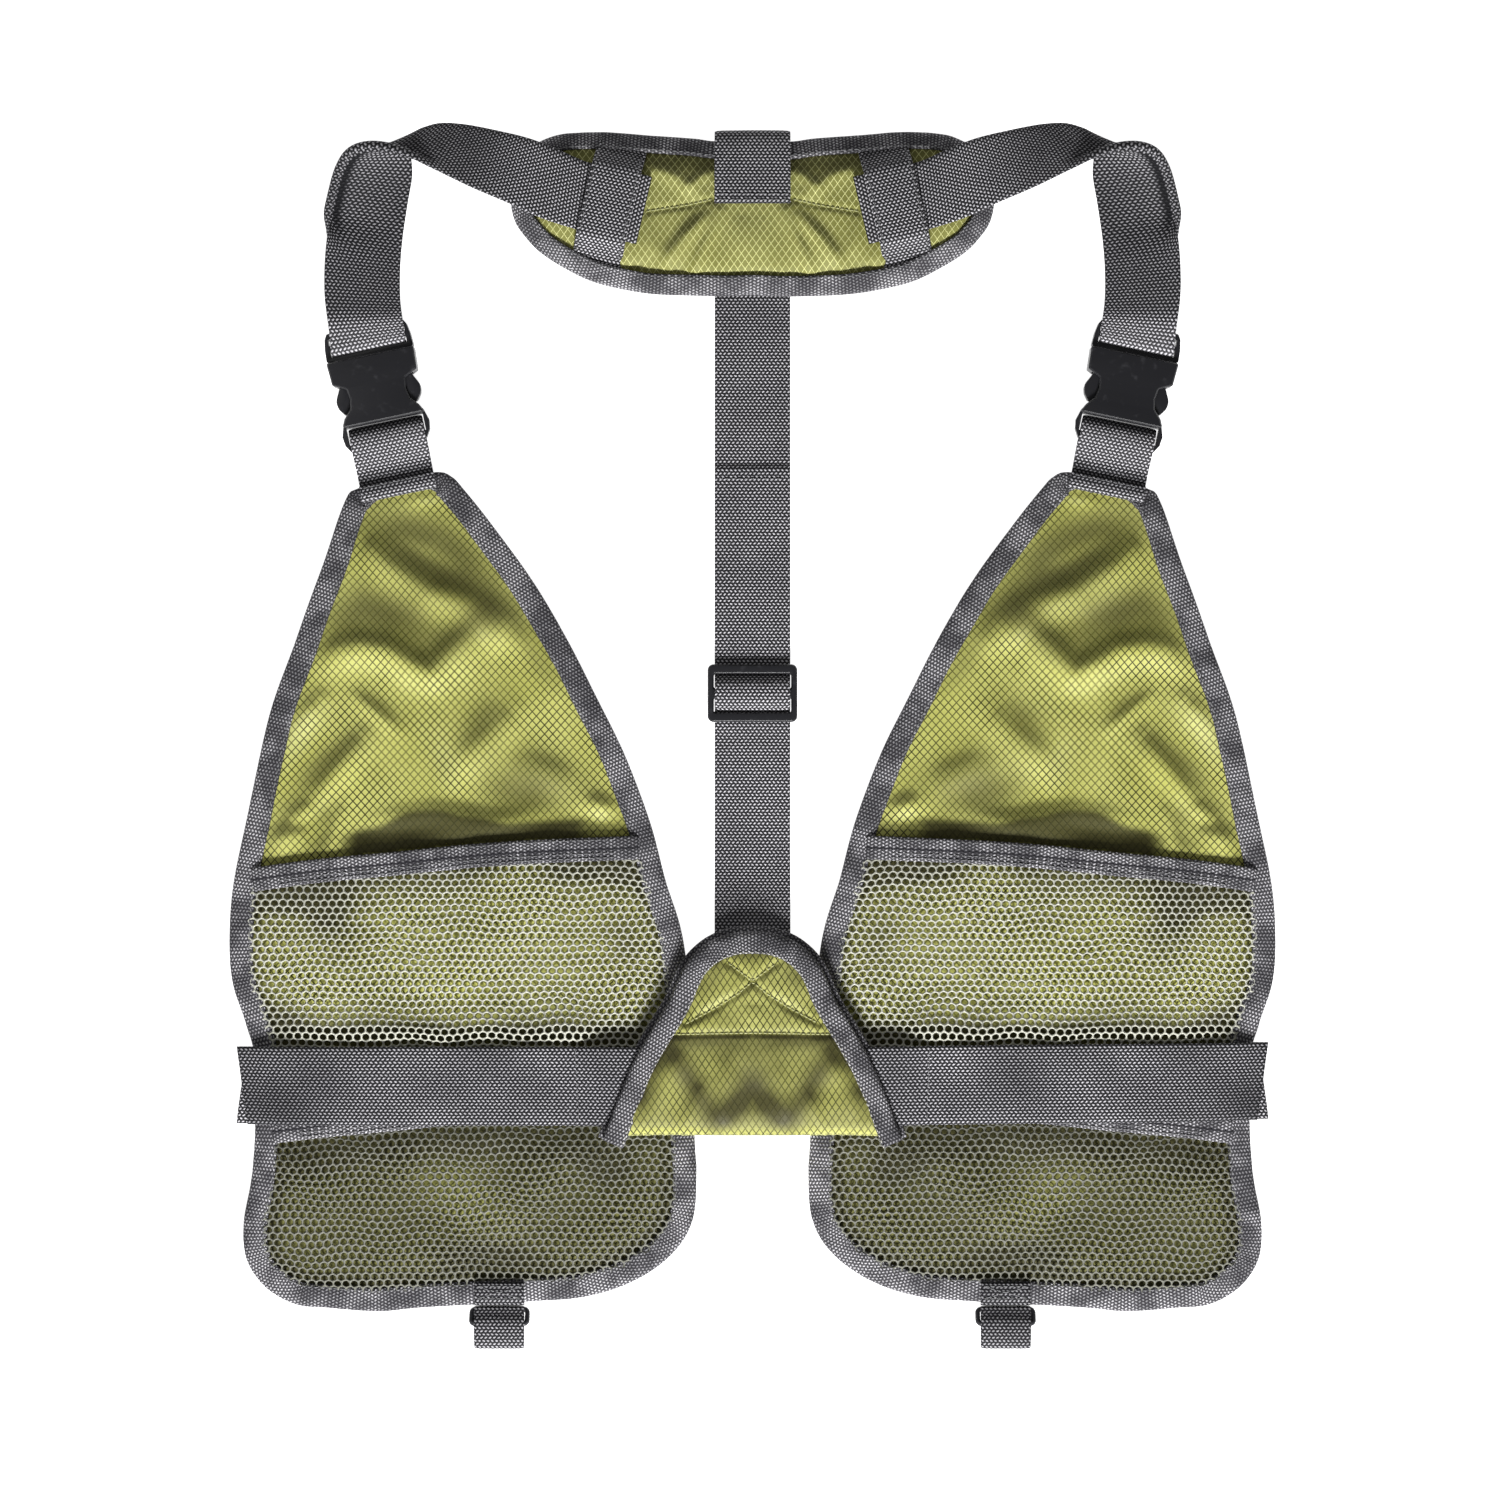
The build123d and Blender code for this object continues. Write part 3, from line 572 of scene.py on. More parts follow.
def stitches(name, lines, material=THREAD, length=2.3, gap=1.1, radius=0.26):
    """Rows of separate thread stitches lying along lines of points."""
    step = 0.4
    verts, faces = [], []
    ring = [(math.cos(a), math.sin(a)) for a in np.linspace(0, 2 * math.pi, 6, endpoint=False)]
    for line in lines:
        fine = even_steps(np.asarray(line, float), step)
        pitch = int(round((length + gap) / step))
        body = int(round(length / step))
        for first in range(0, len(fine) - body, pitch):
            a, b = fine[first], fine[first + body]
            along = unit(b - a)
            side = unit(np.cross(along, (0, 0, 1)))
            rise = np.cross(side, along)
            start = len(verts)
            for share, size, up in ((0, 0.35, -0.15), (0.25, 1, 0.12), (0.75, 1, 0.12), (1, 0.35, -0.15)):
                middle = a + (b - a) * share + rise * up
                for c, s in ring:
                    verts.append(middle + side * c * radius * size + rise * s * radius * size)
            for k in range(3):
                for q in range(6):
                    low, high = start + 6 * k, start + 6 * k + 6
                    faces.append((low + q, high + q, high + (q + 1) % 6, low + (q + 1) % 6))
            faces.append(tuple(start + q for q in range(6)))
            faces.append(tuple(start + 18 + q for q in reversed(range(6))))
    made = add_mesh(name, verts, faces, material)
    tidy_normals(made)
    return made


def settle(piece, body, slot, *nodes):
    """Put a finished piece on its body, hiding the CAD nodes it stands for; slot is not used."""
    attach(piece, body)
    if nodes:
        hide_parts(*nodes)
    return piece


# --------------------------------------------------------------- shapes

PANEL_EDGE = [
    (159, 134), (181, 129.5), (199, 125.5), (205, 119), (216, 88), (229.5, 50), (243, 11.5), (251.5, -27),
    (260.5, -70), (263, -97), (261.5, -122), (255, -143), (250.5, -160), (250, -195), (251, -214),
    (252.5, -225), (256, -244), (254.5, -262), (245, -276), (230, -284.5), (214, -286.2), (188, -288),
    (164, -286), (113, -283), (83, -280.5), (59, -272.5), (40, -259), (30, -242), (28, -218), (29, -200),
    (33, -113), (44, -70), (52, -40.5), (63, -11), (80, 24), (98, 59), (113, 83), (131, 107.5), (145, 125),
    (151, 131.5),
]
YOKE_EDGE = [
    (0, 300.3), (19, 300), (30, 301.4), (52, 303), (75, 304.7), (93, 304), (103, 301.5), (111, 296.5),
    (118, 286), (121.5, 272), (119.5, 260), (113, 250.5), (106, 243.6), (94, 236), (80, 229.4), (63, 225.2),
    (45, 222.9), (17.5, 222), (0, 222.6),
]
LUMBAR_EDGE = [
    (0, -96.2), (12, -97.5), (24, -103), (34, -113.5), (42, -131), (52, -148), (62, -167), (75, -200),
    (40, -202.8), (0, -203.6),
]
POCKET_SLOPE = 0.085
UPPER_MOUTH_Y, LOWER_MOUTH_Y = -56.0, -184.0
MOUTHS = (UPPER_MOUTH_Y, LOWER_MOUTH_Y)
BELT_Y = -174.0
PANEL_MIDDLE_X = 145.0


def mirrored_outline(edge, step):
    """A closed outline from its right half, which starts and ends on X = 0."""
    left = [(-x, y) for x, y in edge[-2:0:-1]]
    return curve_through(edge + left, step, closed=True)[:-1]


def hem_y(x, mouth):
    """The slanted, slightly arched hem line's Y at each X, for a pocket mouth."""
    arch = 2.2 * np.sin((np.abs(x) - 60) / 190 * math.pi)
    return mouth - (np.abs(x) - PANEL_MIDDLE_X) * POCKET_SLOPE + arch


# A row of the tables of folds and patches is a line of points, a width and a
# height: millimetres for a fold, and for a patch a depth of painted shade, which
# is below 0 where a painted highlight makes the cloth pale.

PANEL_FOLDS = [
    (((197, 100), (184, 87), (164, 73.5), (143, 67.5), (127, 60)), 8.5, 4.4),
    (((221, 40), (197, 46), (184, 44), (172, 37), (161, 32.5), (149, 45), (138, 55), (120, 50)), 8.5, 4.4),
    (((199, 21), (188, 12), (179, 4)), 4.0, 1.7),
    (((195, 0), (208, -16), (221, -33)), 7.0, 3.2),
    (((218, 19), (234, 4), (243, -16)), 6.5, 2.2),
    (((206, -32), (209, -44), (211, -54)), 4.5, 2.0),
    (((233, -41), (222, -34)), 4.0, 1.4),
    (((119, 13), (134, -2), (149, -17)), 9.0, 2.6),
    (((120, -12), (100, -19), (88, -24)), 8.0, 2.0),
    (((115, 60), (104, 40), (97, 22)), 4.0, 1.5),
    (((245, -52), (224, -46)), 6.0, 2.2),
    (((84, -32), (66, -36)), 6.0, 2.4),
    (((190, -42), (160, -38), (130, -42), (104, -36)), 6.0, 1.6),
    (((188, 124), (160, 128)), 7.0, 3.0),
]
PANEL_PAINTED_LIGHT = [
    (((214, 54), (195, 66), (174, 60), (160, 46)), 13.5, 0.80),
    (((157, 44), (143, 55), (124, 66)), 9, 0.50),
    (((192, 107), (164, 88), (143, 76), (120, 64)), 11, 0.78),
    (((184, 113), (157, 103), (132, 85)), 9.5, 0.62),
    (((120, 60), (106, 36), (100, 26)), 5, 0.34),
    (((228, -27), (216, -12), (204, -3), (195, 2)), 6, 0.52),
    (((196, 24), (187, 17), (178, 9)), 4, 0.46),
    (((239, -37), (225, -32)), 5, 0.36),
    (((218, -44), (212, -34)), 4.5, 0.42),
    (((142, 4), (127, 21)), 8, 0.48),
    (((126, -12), (106, -22), (88, -24)), 14, 0.52),
    (((140, -24), (104, -33)), 10, 0.42),
    (((236, -8), (226, 6), (218, 14)), 8, -0.42),
    (((176, 100), (150, 87)), 3.5, -0.30),
    (((200, 38), (184, 36), (166, 26), (150, 34)), 6, -0.22),
    (((170, 118), (158, 120)), 3.5, -0.30),
    (((158, -2), (150, -20), (146, -32)), 7, -0.22),
    (((248, -48), (236, -48)), 4, -0.34),
    (((84, -38), (72, -40)), 5, -0.34),
]
UNDER_NET_PAINTED_LIGHT = [
    (((250, -74), (222, -76), (206, -98)), 13, 0.75),
    (((92, -62), (74, -60), (56, -70)), 11, 0.65),
    (((250, -142), (228, -150)), 10, 0.8),
    (((70, -90), (58, -112)), 10, 0.35),
    (((236, -206), (214, -200)), 10, 0.55),
    (((110, -200), (84, -196), (72, -214)), 10, 0.6),
    (((150, -262), (110, -268)), 10, 0.3),
    (((180, -96), (160, -120), (140, -134)), 11, -0.5),
    (((132, -76), (110, -64)), 9, -0.4),
    (((226, -118), (214, -136)), 9, -0.35),
    (((160, -222), (130, -240)), 12, -0.3),
]
UNDER_NET_FOLDS = [
    (((171, -135), (150, -112), (137, -96), (110, -74), (96, -63)), 19, 3.2),
    (((224, -146), (209, -120), (198, -92)), 15, 3.0),
    (((96, -150), (66, -138), (54, -120)), 13, 2.6),
    (((150, -150), (120, -140)), 14, 2.2),
    (((92, -204), (120, -232), (150, -250), (180, -262)), 15, 3.0),
    (((232, -214), (204, -236)), 15, 2.8),
    (((60, -232), (84, -258)), 12, 2.2),
    (((170, -204), (190, -222)), 12, 1.8),
]
NET_FOLDS = [
    (((165, -140), (140, -100), (98, -66)), 17, 1.1),
    (((222, -144), (200, -96)), 13, 0.9),
    (((96, -150), (60, -130)), 12, 0.9),
    (((92, -206), (130, -240), (182, -262)), 14, 0.9),
    (((232, -216), (204, -238)), 13, 0.8),
]


def folds(x, y, rows):
    """All the ridges of a table together, the same on both halves."""
    x = np.abs(x)
    return sum(ridge(x, y, *row) for row in rows)


def in_open_part(x, y):
    """1 above the upper pocket's mouth, 0 below it, smooth between."""
    return 1 / (1 + np.exp(-(y - hem_y(x, UPPER_MOUTH_Y)) / 3.0))


def panel_height(x, y, inside):
    """The cloth's upper face: flat at the binding, folded in the open part, swelling under the nets."""
    open_part = in_open_part(x, y)
    soft = np.clip((inside - 9.5) / 11, 0, 1) ** 0.8
    lively = folds(x, y, PANEL_FOLDS) * 1.45 + 0.55 * ripple(x, y, 40, 5)
    above_hem = np.clip(y - hem_y(x, UPPER_MOUTH_Y), 0, None)
    lively = lively + 4.6 * bell(above_hem, 9.5 + 3.0 * np.sin(np.abs(x) / 17))
    under = folds(x, y, UNDER_NET_FOLDS) + 0.3 * ripple(x, y, 30, 6)
    belt = 1 - bell(y - BELT_Y, 24, 4)
    under = np.minimum(under * belt, 4.0)
    return 2.5 + soft * (open_part * lively + (1 - open_part) * under)


def panel_shade(x, y, inside, top):
    """Painted shade on creases turned away from the vest's lower end, beyond which the key lamp stands,
    painted shadow in the hem's shelter, painted shade on the cloth under the nets, and painted highlights
    where the patches are below 0.
    """
    slope = -np.gradient(top, axis=1) / np.gradient(y, axis=1)
    creased = 0.62 * step_up(slope, 0.02, 0.34)
    above_hem = y - hem_y(x, UPPER_MOUTH_Y)
    width = 10.5 + 10 * bell(np.abs(x) - 165, 28) + 0.8 * ripple(x, 0 * x, 22, 51)
    # Painted shadow of the upper pocket's hem on the cloth above it.
    sheltered = 0.97 * (1 - step_up(above_hem, width - 3, width + 2))
    sheltered = sheltered * step_up(np.abs(x), 76, 90) * (1 - step_up(np.abs(x), 198, 210))
    # Painted shade on the cloth under the nets: in the lower pockets, under the hems, above the belt and at
    # the binding.
    beneath = 0.2 + 0.62 * (y < LOWER_MOUTH_Y) + 1.5 * folds(x, y, UNDER_NET_PAINTED_LIGHT)
    for mouth in MOUTHS:
        beneath = beneath + 0.7 * bell(y - hem_y(x, mouth) + 12, 12)
    beneath = beneath + 0.95 * bell(y + 150, 10) + 0.5 * step_up(-inside, -20, -12)
    open_part = in_open_part(x, y) > 0.5
    # Painted shade patches, with painted highlights where they are below 0.
    patches = folds(x, y, PANEL_PAINTED_LIGHT)
    darkest = np.maximum(np.maximum(0.8 * creased, sheltered), np.maximum(patches, 0))
    deepest = darkest + np.minimum(patches, 0)
    return np.where(open_part, deepest, np.maximum(beneath, 0.6 * creased))


def net_shade(x, y):
    """Painted shade on the nets: deeper in the lower pockets, close to the hems and in the patches under
    the nets.
    """
    dim = 0.78 * step_up(-y, 176, 190)
    for mouth in MOUTHS:
        dim = dim + 0.3 * bell(y - hem_y(x, mouth) + 13, 7)
    return dim + 0.35 * np.clip(folds(x, y, UNDER_NET_PAINTED_LIGHT), -0.3, 1)


def net_height(x, y, inside):
    """The net's middle surface: low at the binding, high at the hems and above the belt."""
    rise = 1 - np.exp(-np.clip(inside - 8, 0, None) / 9)
    mouths = sum(bell(y - hem_y(x, mouth) + 6, 14) for mouth in MOUTHS)
    swell = 4.0 * bell(y + 146.5, 7) * step_up(np.abs(x), 72, 90)
    return 3.7 + rise * (2.4 + 1.3 * mouths + swell + folds(x, y, NET_FOLDS) + 0.3 * ripple(x, y, 26, 8))


# ---------------------------------------------------------- front panels

RIGHT_OUTLINE = curve_through(PANEL_EDGE, 4.0, closed=True)[:-1]


def mirrored_mesh(name, verts, faces, material, side):
    """A mesh given for the right half, put on the given side."""
    verts = np.asarray(verts, float) * (side, 1, 1)
    made = add_mesh(name, verts, faces, material)
    tidy_normals(made)
    return made


def cloth_shape():
    """Both faces of one cloth sheet inside the binding, as points and faces."""
    low_x, low_y = RIGHT_OUTLINE.min(0)
    high_x, high_y = RIGHT_OUTLINE.max(0)
    cell = 1.7
    columns = np.arange(low_x, high_x + cell, cell)
    rows = np.arange(low_y, high_y + cell, cell)
    x, y = np.meshgrid(columns, rows, indexing="ij")
    inside = outline_distance(x, y, RIGHT_OUTLINE)
    top = panel_height(x, y, inside)
    keep = inside > 1.5
    number = -np.ones(x.shape, int)
    number[keep] = np.arange(keep.sum())
    upper = np.stack([x[keep], y[keep], top[keep]], 1)
    shade = panel_shade(x, y, inside, top)[keep]
    quads = np.stack([number[:-1, :-1], number[1:, :-1], number[1:, 1:], number[:-1, 1:]], -1)
    quads = quads.reshape(-1, 4)
    quads = quads[(quads >= 0).all(1)]
    count = len(upper)
    edges = {}
    for q in quads.tolist():
        for a, b in zip(q, q[1:] + q[:1]):
            edges[(a, b)] = True
    walls = [(b, a, a + count, b + count) for a, b in edges if (b, a) not in edges]
    faces = quads.tolist() + (quads[:, ::-1] + count).tolist() + walls
    area = float(keep.sum()) * cell * cell * MM * MM
    size = ((high_x - low_x) * MM, (high_y - low_y) * MM)
    verts = np.vstack([upper, upper - (0, 0, CLOTH_THICK)])
    return verts, faces, area, size, np.concatenate([shade, shade])


CLOTH_SHAPE = cloth_shape()


def panel_cloth(side, letter):
    """One continuous cloth sheet inside the binding, folded where it lies open."""
    verts, faces, area, size, shade = CLOTH_SHAPE
    made = mirrored_mesh(f"panel_cloth_{letter}", verts, faces, PANEL_CLOTH, side)
    set_shade(made, shade)
    settle(made, "vest", "olive_ripstop", f"panel_fabric_{letter}")


NET_PITCH_X, NET_PITCH_Y = 4.25, 3.35
HOLE_X, HOLE_Y = 1.66, 1.46


def net_shape(low, high):
    """A knitted net with real hexagonal holes, between two slanted lines."""
    xs = np.arange(24, 262, NET_PITCH_X)
    ys = np.arange(-290, -40, NET_PITCH_Y)
    grid_x, grid_y = np.meshgrid(xs, ys, indexing="ij")
    grid_x = grid_x + (np.arange(len(ys)) % 2)[None] * NET_PITCH_X / 2
    inside = outline_distance(grid_x, grid_y, RIGHT_OUTLINE)
    margin = 9.5 - 4.0 * bell(grid_y + 150, 26) * (grid_x > 150)
    keep = (inside > margin) & (grid_y < hem_y(grid_x, high) - 3) & (grid_y > hem_y(grid_x, low))
    centres = np.stack([grid_x[keep], grid_y[keep]], 1)
    corners = [math.radians(60 * k + 30) for k in range(6)]
    reach_x, reach_y = NET_PITCH_X / math.sqrt(3), NET_PITCH_Y * 2 / 3
    hexagon = np.array([(math.cos(a) * reach_x, math.sin(a) * reach_y) for a in corners])
    middle = (hexagon + np.roll(hexagon, -1, 0)) / 2
    rim = np.stack([hexagon, middle], 1).reshape(-1, 2)
    turns = np.radians(30 * np.arange(12) + 30)
    hole = np.array([(math.cos(a) * HOLE_X, math.sin(a) * HOLE_Y) for a in turns])
    merged, verts, faces = {}, [], []

    def vertex(point, height):
        key = (round(point[0] * 20), round(point[1] * 20), height)
        if key not in merged:
            merged[key] = len(verts)
            verts.append((point[0], point[1], height))
        return merged[key]

    for centre in centres:
        outer = [[vertex(centre + p, h) for p in rim] for h in (0.42, -0.42)]
        first = len(verts)
        verts += [(centre[0] + p[0], centre[1] + p[1], 0.0) for p in hole]
        for k in range(12):
            a, b = first + k, first + (k + 1) % 12
            faces.append((outer[0][k], outer[0][(k + 1) % 12], b, a))
            faces.append((outer[1][(k + 1) % 12], outer[1][k], a, b))
    verts = np.array(verts)
    depth = outline_distance(verts[:, 0], verts[:, 1], RIGHT_OUTLINE)
    verts[:, 2] += net_height(verts[:, 0], verts[:, 1], depth)
    sway = np.stack([ripple(verts[:, 0], verts[:, 1], 48, seed) for seed in (21, 22)], 1)
    verts[:, :2] += 0.9 * sway
    strand_share = 1 - math.pi * HOLE_X * HOLE_Y / (NET_PITCH_X * NET_PITCH_Y)
    area = len(centres) * NET_PITCH_X * NET_PITCH_Y * strand_share * MM * MM * 1.25
    size = (float(np.ptp(centres[:, 0])) * MM, float(np.ptp(centres[:, 1])) * MM)
    return verts, faces, area, size


HEM_WIDTH, HEM_DROP = 12.0, 5.5
POCKETS = (
    ("upper", UPPER_MOUTH_Y, net_shape(LOWER_MOUTH_Y + 6, UPPER_MOUTH_Y)),
    ("lower", LOWER_MOUTH_Y, net_shape(-330, LOWER_MOUTH_Y)),
)


def pocket_net(side, letter, place, shape):
    verts, faces, area, size = shape
    made = mirrored_mesh(f"{place}_net_{letter}", verts, faces, NET, side)
    set_shade(made, net_shade(verts[:, 0], verts[:, 1]))
    settle(made, "vest", "pale_net", f"{place}_pocket_mesh_{letter}")


def pocket_hem(side, letter, place, mouth):
    """The tape folded over the net's upper edge, its ends sewn in under the binding."""
    probe = np.arange(30, 262, 0.5)
    inside = outline_distance(probe, hem_y(probe, mouth) - HEM_DROP, RIGHT_OUTLINE)
    ends = probe[inside > 5.0]
    x = np.linspace(ends[0], ends[-1], 90)
    y = hem_y(x, mouth) - HEM_DROP + 0.5 * ripple(x, 0 * x, 60, 12)
    depth = outline_distance(x, y, RIGHT_OUTLINE)
    z = net_height(x, y, depth) + 0.9 - 4.2 * bell(depth, 8.5, 3)
    route = np.stack([x * side, y, z], 1)
    across = np.stack([0.085 * side * np.ones_like(x), np.ones_like(x), 0.04 * np.ones_like(x)], 1)
    piece = ribbon(f"{place}_hem_{letter}", route, across, HEM_WIDTH, TAPE, 2.0, 1.5, waver=0.3, seed=11)
    settle(piece, "vest", "grey_tape", f"{place}_pocket_hem_{letter}")
    rows = [(route + (0, offset, 1.1))[7:-7] for offset in (-4.4, -2.2, 4.6)]
    settle(stitches(f"{place}_hem_stitches_{letter}", rows), "vest", "grey_tape")


def top_edge_share(x, y):
    """The binding is narrower along the panel's short top edge, under the buckle's anchor."""
    return 1 - 0.38 * bell(np.abs(x) - 177, 17, 6) * (y > 120)


def build_panel(side, letter):
    panel_cloth(side, letter)
    outline = curve_through(PANEL_EDGE, 2.0, closed=True)[:-1] * (side, 1)
    tape = edge_tape(f"panel_tape_{letter}", outline, PANEL_BINDING, 0.1, 4.4, seed=4, share=top_edge_share)
    settle(tape, "vest", "grey_tape", f"panel_binding_{letter}")
    inset = 10.4 * top_edge_share(outline[:, 0], outline[:, 1])
    seam = at_height(outline + inward_normals(outline) * inset[:, None], 4.55)
    settle(stitches(f"panel_tape_stitches_{letter}", [seam]), "vest", "grey_tape")
    for place, mouth, shape in POCKETS:
        pocket_net(side, letter, place, shape)
        pocket_hem(side, letter, place, mouth)


# ------------------------------------------------------------------ pads

def pad_blank(name, outline, base, rim, top, full, material):
    """A closed pad: rings from the outline to the middle, above and below."""
    middle = outline.mean(0)
    shares = np.concatenate([[1, 0.995], np.linspace(0.98, 0.04, 26)])
    rings_xy = middle + (outline - middle) * shares[:, None, None]
    depth = outline_distance(rings_xy[..., 0], rings_xy[..., 1], outline)
    depth[0] = 0
    swell = np.clip(depth / full, 0, 1)
    upper = rim + (top - rim) * np.sqrt(1 - (1 - swell) ** 2)
    lower = np.full_like(depth, base)
    top_rows = np.concatenate([rings_xy, upper[..., None]], -1)
    low_rows = np.concatenate([rings_xy, lower[..., None]], -1)
    rows = np.concatenate([low_rows[::-1], top_rows])
    verts = np.vstack([rows.reshape(-1, 3), [[*middle, base], [*middle, upper[-1].mean()]]])
    n, m = rows.shape[:2]
    index = np.arange(n * m).reshape(n, m)
    faces = []
    for i in range(n - 1):
        for j in range(m):
            beside = (j + 1) % m
            faces.append((index[i, j], index[i + 1, j], index[i + 1, beside], index[i, beside]))
    for j in range(m):
        faces.append((index[0, j], index[0, (j + 1) % m], n * m))
        faces.append((index[-1, (j + 1) % m], index[-1, j], n * m + 1))
    made = add_mesh(name, verts, faces, material)
    tidy_normals(made)
    return made


def swap_mesh(made, modifier):
    """Replace an object's mesh by what its one modifier makes of it."""
    graph = bpy.context.evaluated_depsgraph_get()
    result = bpy.data.meshes.new_from_object(made.evaluated_get(graph))
    made.modifiers.remove(modifier)
    made.data = result
    result.polygons.foreach_set("use_smooth", [True] * len(result.polygons))


def coordinates(made):
    flat = np.zeros(len(made.data.vertices) * 3)
    made.data.vertices.foreach_get("co", flat)
    return flat.reshape(-1, 3) / MM


def write_coordinates(made, points):
    made.data.vertices.foreach_set("co", (np.asarray(points) * MM).ravel())
    made.data.update()


def inflate(made, voxel, pressure, cap):
    """Swell a closed pad as cloth under pressure, by at most cap."""
    remesh = made.modifiers.new("remesh", "REMESH")
    remesh.mode = "VOXEL"
    remesh.voxel_size = voxel * MM
    swap_mesh(made, remesh)
    rest = coordinates(made)
    cloth = made.modifiers.new("cloth", "CLOTH")
    cloth.settings.use_pressure = True
    cloth.settings.uniform_pressure_force = pressure
    cloth.settings.effector_weights.gravity = 0
    cloth.settings.quality = 5
    for moment in range(1, 21):
        scene.frame_set(moment)
    swap_mesh(made, cloth)
    scene.frame_set(1)
    move = coordinates(made) - rest
    size = np.linalg.norm(move, axis=1, keepdims=True)
    write_coordinates(made, rest + move * np.minimum(1, cap / np.maximum(size, 1e-9)))
    divide = made.modifiers.new("divide", "SUBSURF")
    divide.levels = 2
    swap_mesh(made, divide)


def press_seams(made, lines, width, depth, above):
    """Press sewn channels into the pad's upper face along lines of points."""
    points = coordinates(made)
    for line in lines:
        line = even_steps(np.asarray(line, float), 2.0)
        best = np.full(len(points), 1e9)
        for x, y in line:
            best = np.minimum(best, np.hypot(points[:, 0] - x, points[:, 1] - y))
        near = depth * bell(best, width)
        points[:, 2] -= near * (points[:, 2] > above)
    write_coordinates(made, points)


def crease(made, rows, above, seed, level):
    """Raise soft folds on the pad's upper face."""
    points = coordinates(made)
    lift = folds(points[:, 0], points[:, 1], rows) + level * ripple(points[:, 0], points[:, 1], 24, seed)
    points[:, 2] += lift * np.clip((points[:, 2] - above) / 3, 0, 1)
    write_coordinates(made, points)


def shade_creases(made, level, extra=None):
    """Paint shade on a pad's upper face where it turns away from the vest's lower end, beyond which the key
    lamp stands.
    """
    normals = np.zeros(len(made.data.vertices) * 3)
    made.data.vertices.foreach_get("normal", normals)
    normals = normals.reshape(-1, 3)
    points = coordinates(made)
    shade = level * step_up(normals[:, 1], 0.04, 0.42)
    if extra is not None:
        shade = shade + extra(points[:, 0], points[:, 1])
    set_shade(made, shade)


def shade_by_place(made, level):
    """Give a piece its painted shade, or painted highlight below 0, from where each of its points lies."""
    points = coordinates(made)
    set_shade(made, level(points[:, 0], points[:, 1]))


def surface_line(made, line, lift):
    """A level line laid on the pad's upper face."""
    points = coordinates(made)
    line = even_steps(np.asarray(line, float), 2.0)
    result = []
    for x, y in line:
        near = np.argsort(np.hypot(points[:, 0] - x, points[:, 1] - y))[:12]
        result.append((x, y, points[near, 2].max() + lift))
    result = np.array(result)
    result[1:-1, 2] = (result[:-2, 2] + result[1:-1, 2] + result[2:, 2]) / 3
    return result


YOKE_SEAMS = [
    [(-53, 263.5), (-34, 266.5), (-20, 269.5)],
    [(53, 263.5), (34, 266.5), (20, 269.5)],
]
YOKE_FOLDS = [
    (((20, 264), (34, 250), (46, 234)), 4.2, 3.2),
    (((16, 263), (24, 246), (30, 230)), 3.4, 2.5),
    (((4, 262), (6, 240)), 6, 1.2),
    (((24, 270), (38, 280), (50, 286)), 4.0, 1.8),
    (((22, 284), (34, 274)), 3.0, 1.6),
    (((54, 262), (50, 240)), 4, 1.4),
    (((64, 250), (60, 234)), 4, 1.0),
    (((98, 250), (108, 262)), 4, 1.2),
]


def over_back_strap(x, y):
    """How much the binding's lower face rises where the back strap passes under it."""
    return 2.2 * np.clip((23 - np.abs(x)) / 4, 0, 1)


def build_yoke():
    outline = mirrored_outline(YOKE_EDGE, 3.0)
    shrunk = outline + inward_normals(outline) * 3.0
    pad = pad_blank("yoke_pad", shrunk, 1.5, 4.0, 9.8, 22.0, PAD_CLOTH)
    inflate(pad, 4.0, 4.0, 2.5)
    crease(pad, YOKE_FOLDS, 6.0, 31, 0.35)
    press_seams(pad, YOKE_SEAMS, 1.6, 1.0, 6.0)
    points = coordinates(pad)
    low = (np.abs(points[:, 0]) < 24) & (points[:, 2] < 5)
    points[low, 2] = np.maximum(points[low, 2], 2.6)
    points[:, 2] = np.maximum(points[:, 2], 0.3)
    write_coordinates(pad, points)
    shade_creases(pad, 0.55)
    settle(pad, "vest", "olive_ripstop", "yoke_cover", "yoke_foam")
    rows = [surface_line(pad, line, 0.1) for line in YOKE_SEAMS]
    settle(stitches("yoke_seam_stitches", rows, PALE_THREAD, 2.0, 0.6, 0.3), "vest", "olive_ripstop")
    edge = mirrored_outline(YOKE_EDGE, 2.0)
    tape = edge_tape("yoke_tape", edge, YOKE_BINDING, 0.2, 6.2, lift=over_back_strap, seed=8, rise=5.2)
    settle(tape, "vest", "grey_tape", "yoke_binding")
    seam = at_height(edge + inward_normals(edge) * 8.2, 10.9)
    settle(stitches("yoke_tape_stitches", [seam]), "vest", "grey_tape")


LUMBAR_SEAMS = [
    [(-12, -112), (-5, -117), (0, -121), (5, -117), (12, -112)],
    [(-33, -142), (-18, -134), (-7, -127), (0, -121), (7, -127), (18, -134), (33, -142)],
    [(-48, -147.5), (-24, -147), (0, -146.5), (24, -147), (48, -147.5)],
]
LUMBAR_PAINTED_LIGHT = [
    (((46, -151), (0, -150.5)), 4.5, 0.6),
    (((41, -154), (30, -171), (18, -192)), 6, 0.72),
    (((0, -162), (0, -182)), 10, 0.62),
    (((2, -178), (10, -184), (17, -193)), 7, 0.85),
    (((50, -168), (58, -186)), 5, 0.4),
    (((15, -113), (25, -126)), 4.5, 0.5),
    (((6, -136), (20, -142)), 6, 0.25),
    (((22, -160), (18, -170)), 6, -0.2),
    (((44, -168), (36, -186)), 5, -0.25),
    (((12, -128), (27, -137)), 3, -0.35),
    (((66, -198), (0, -200)), 3.5, -0.6),
]
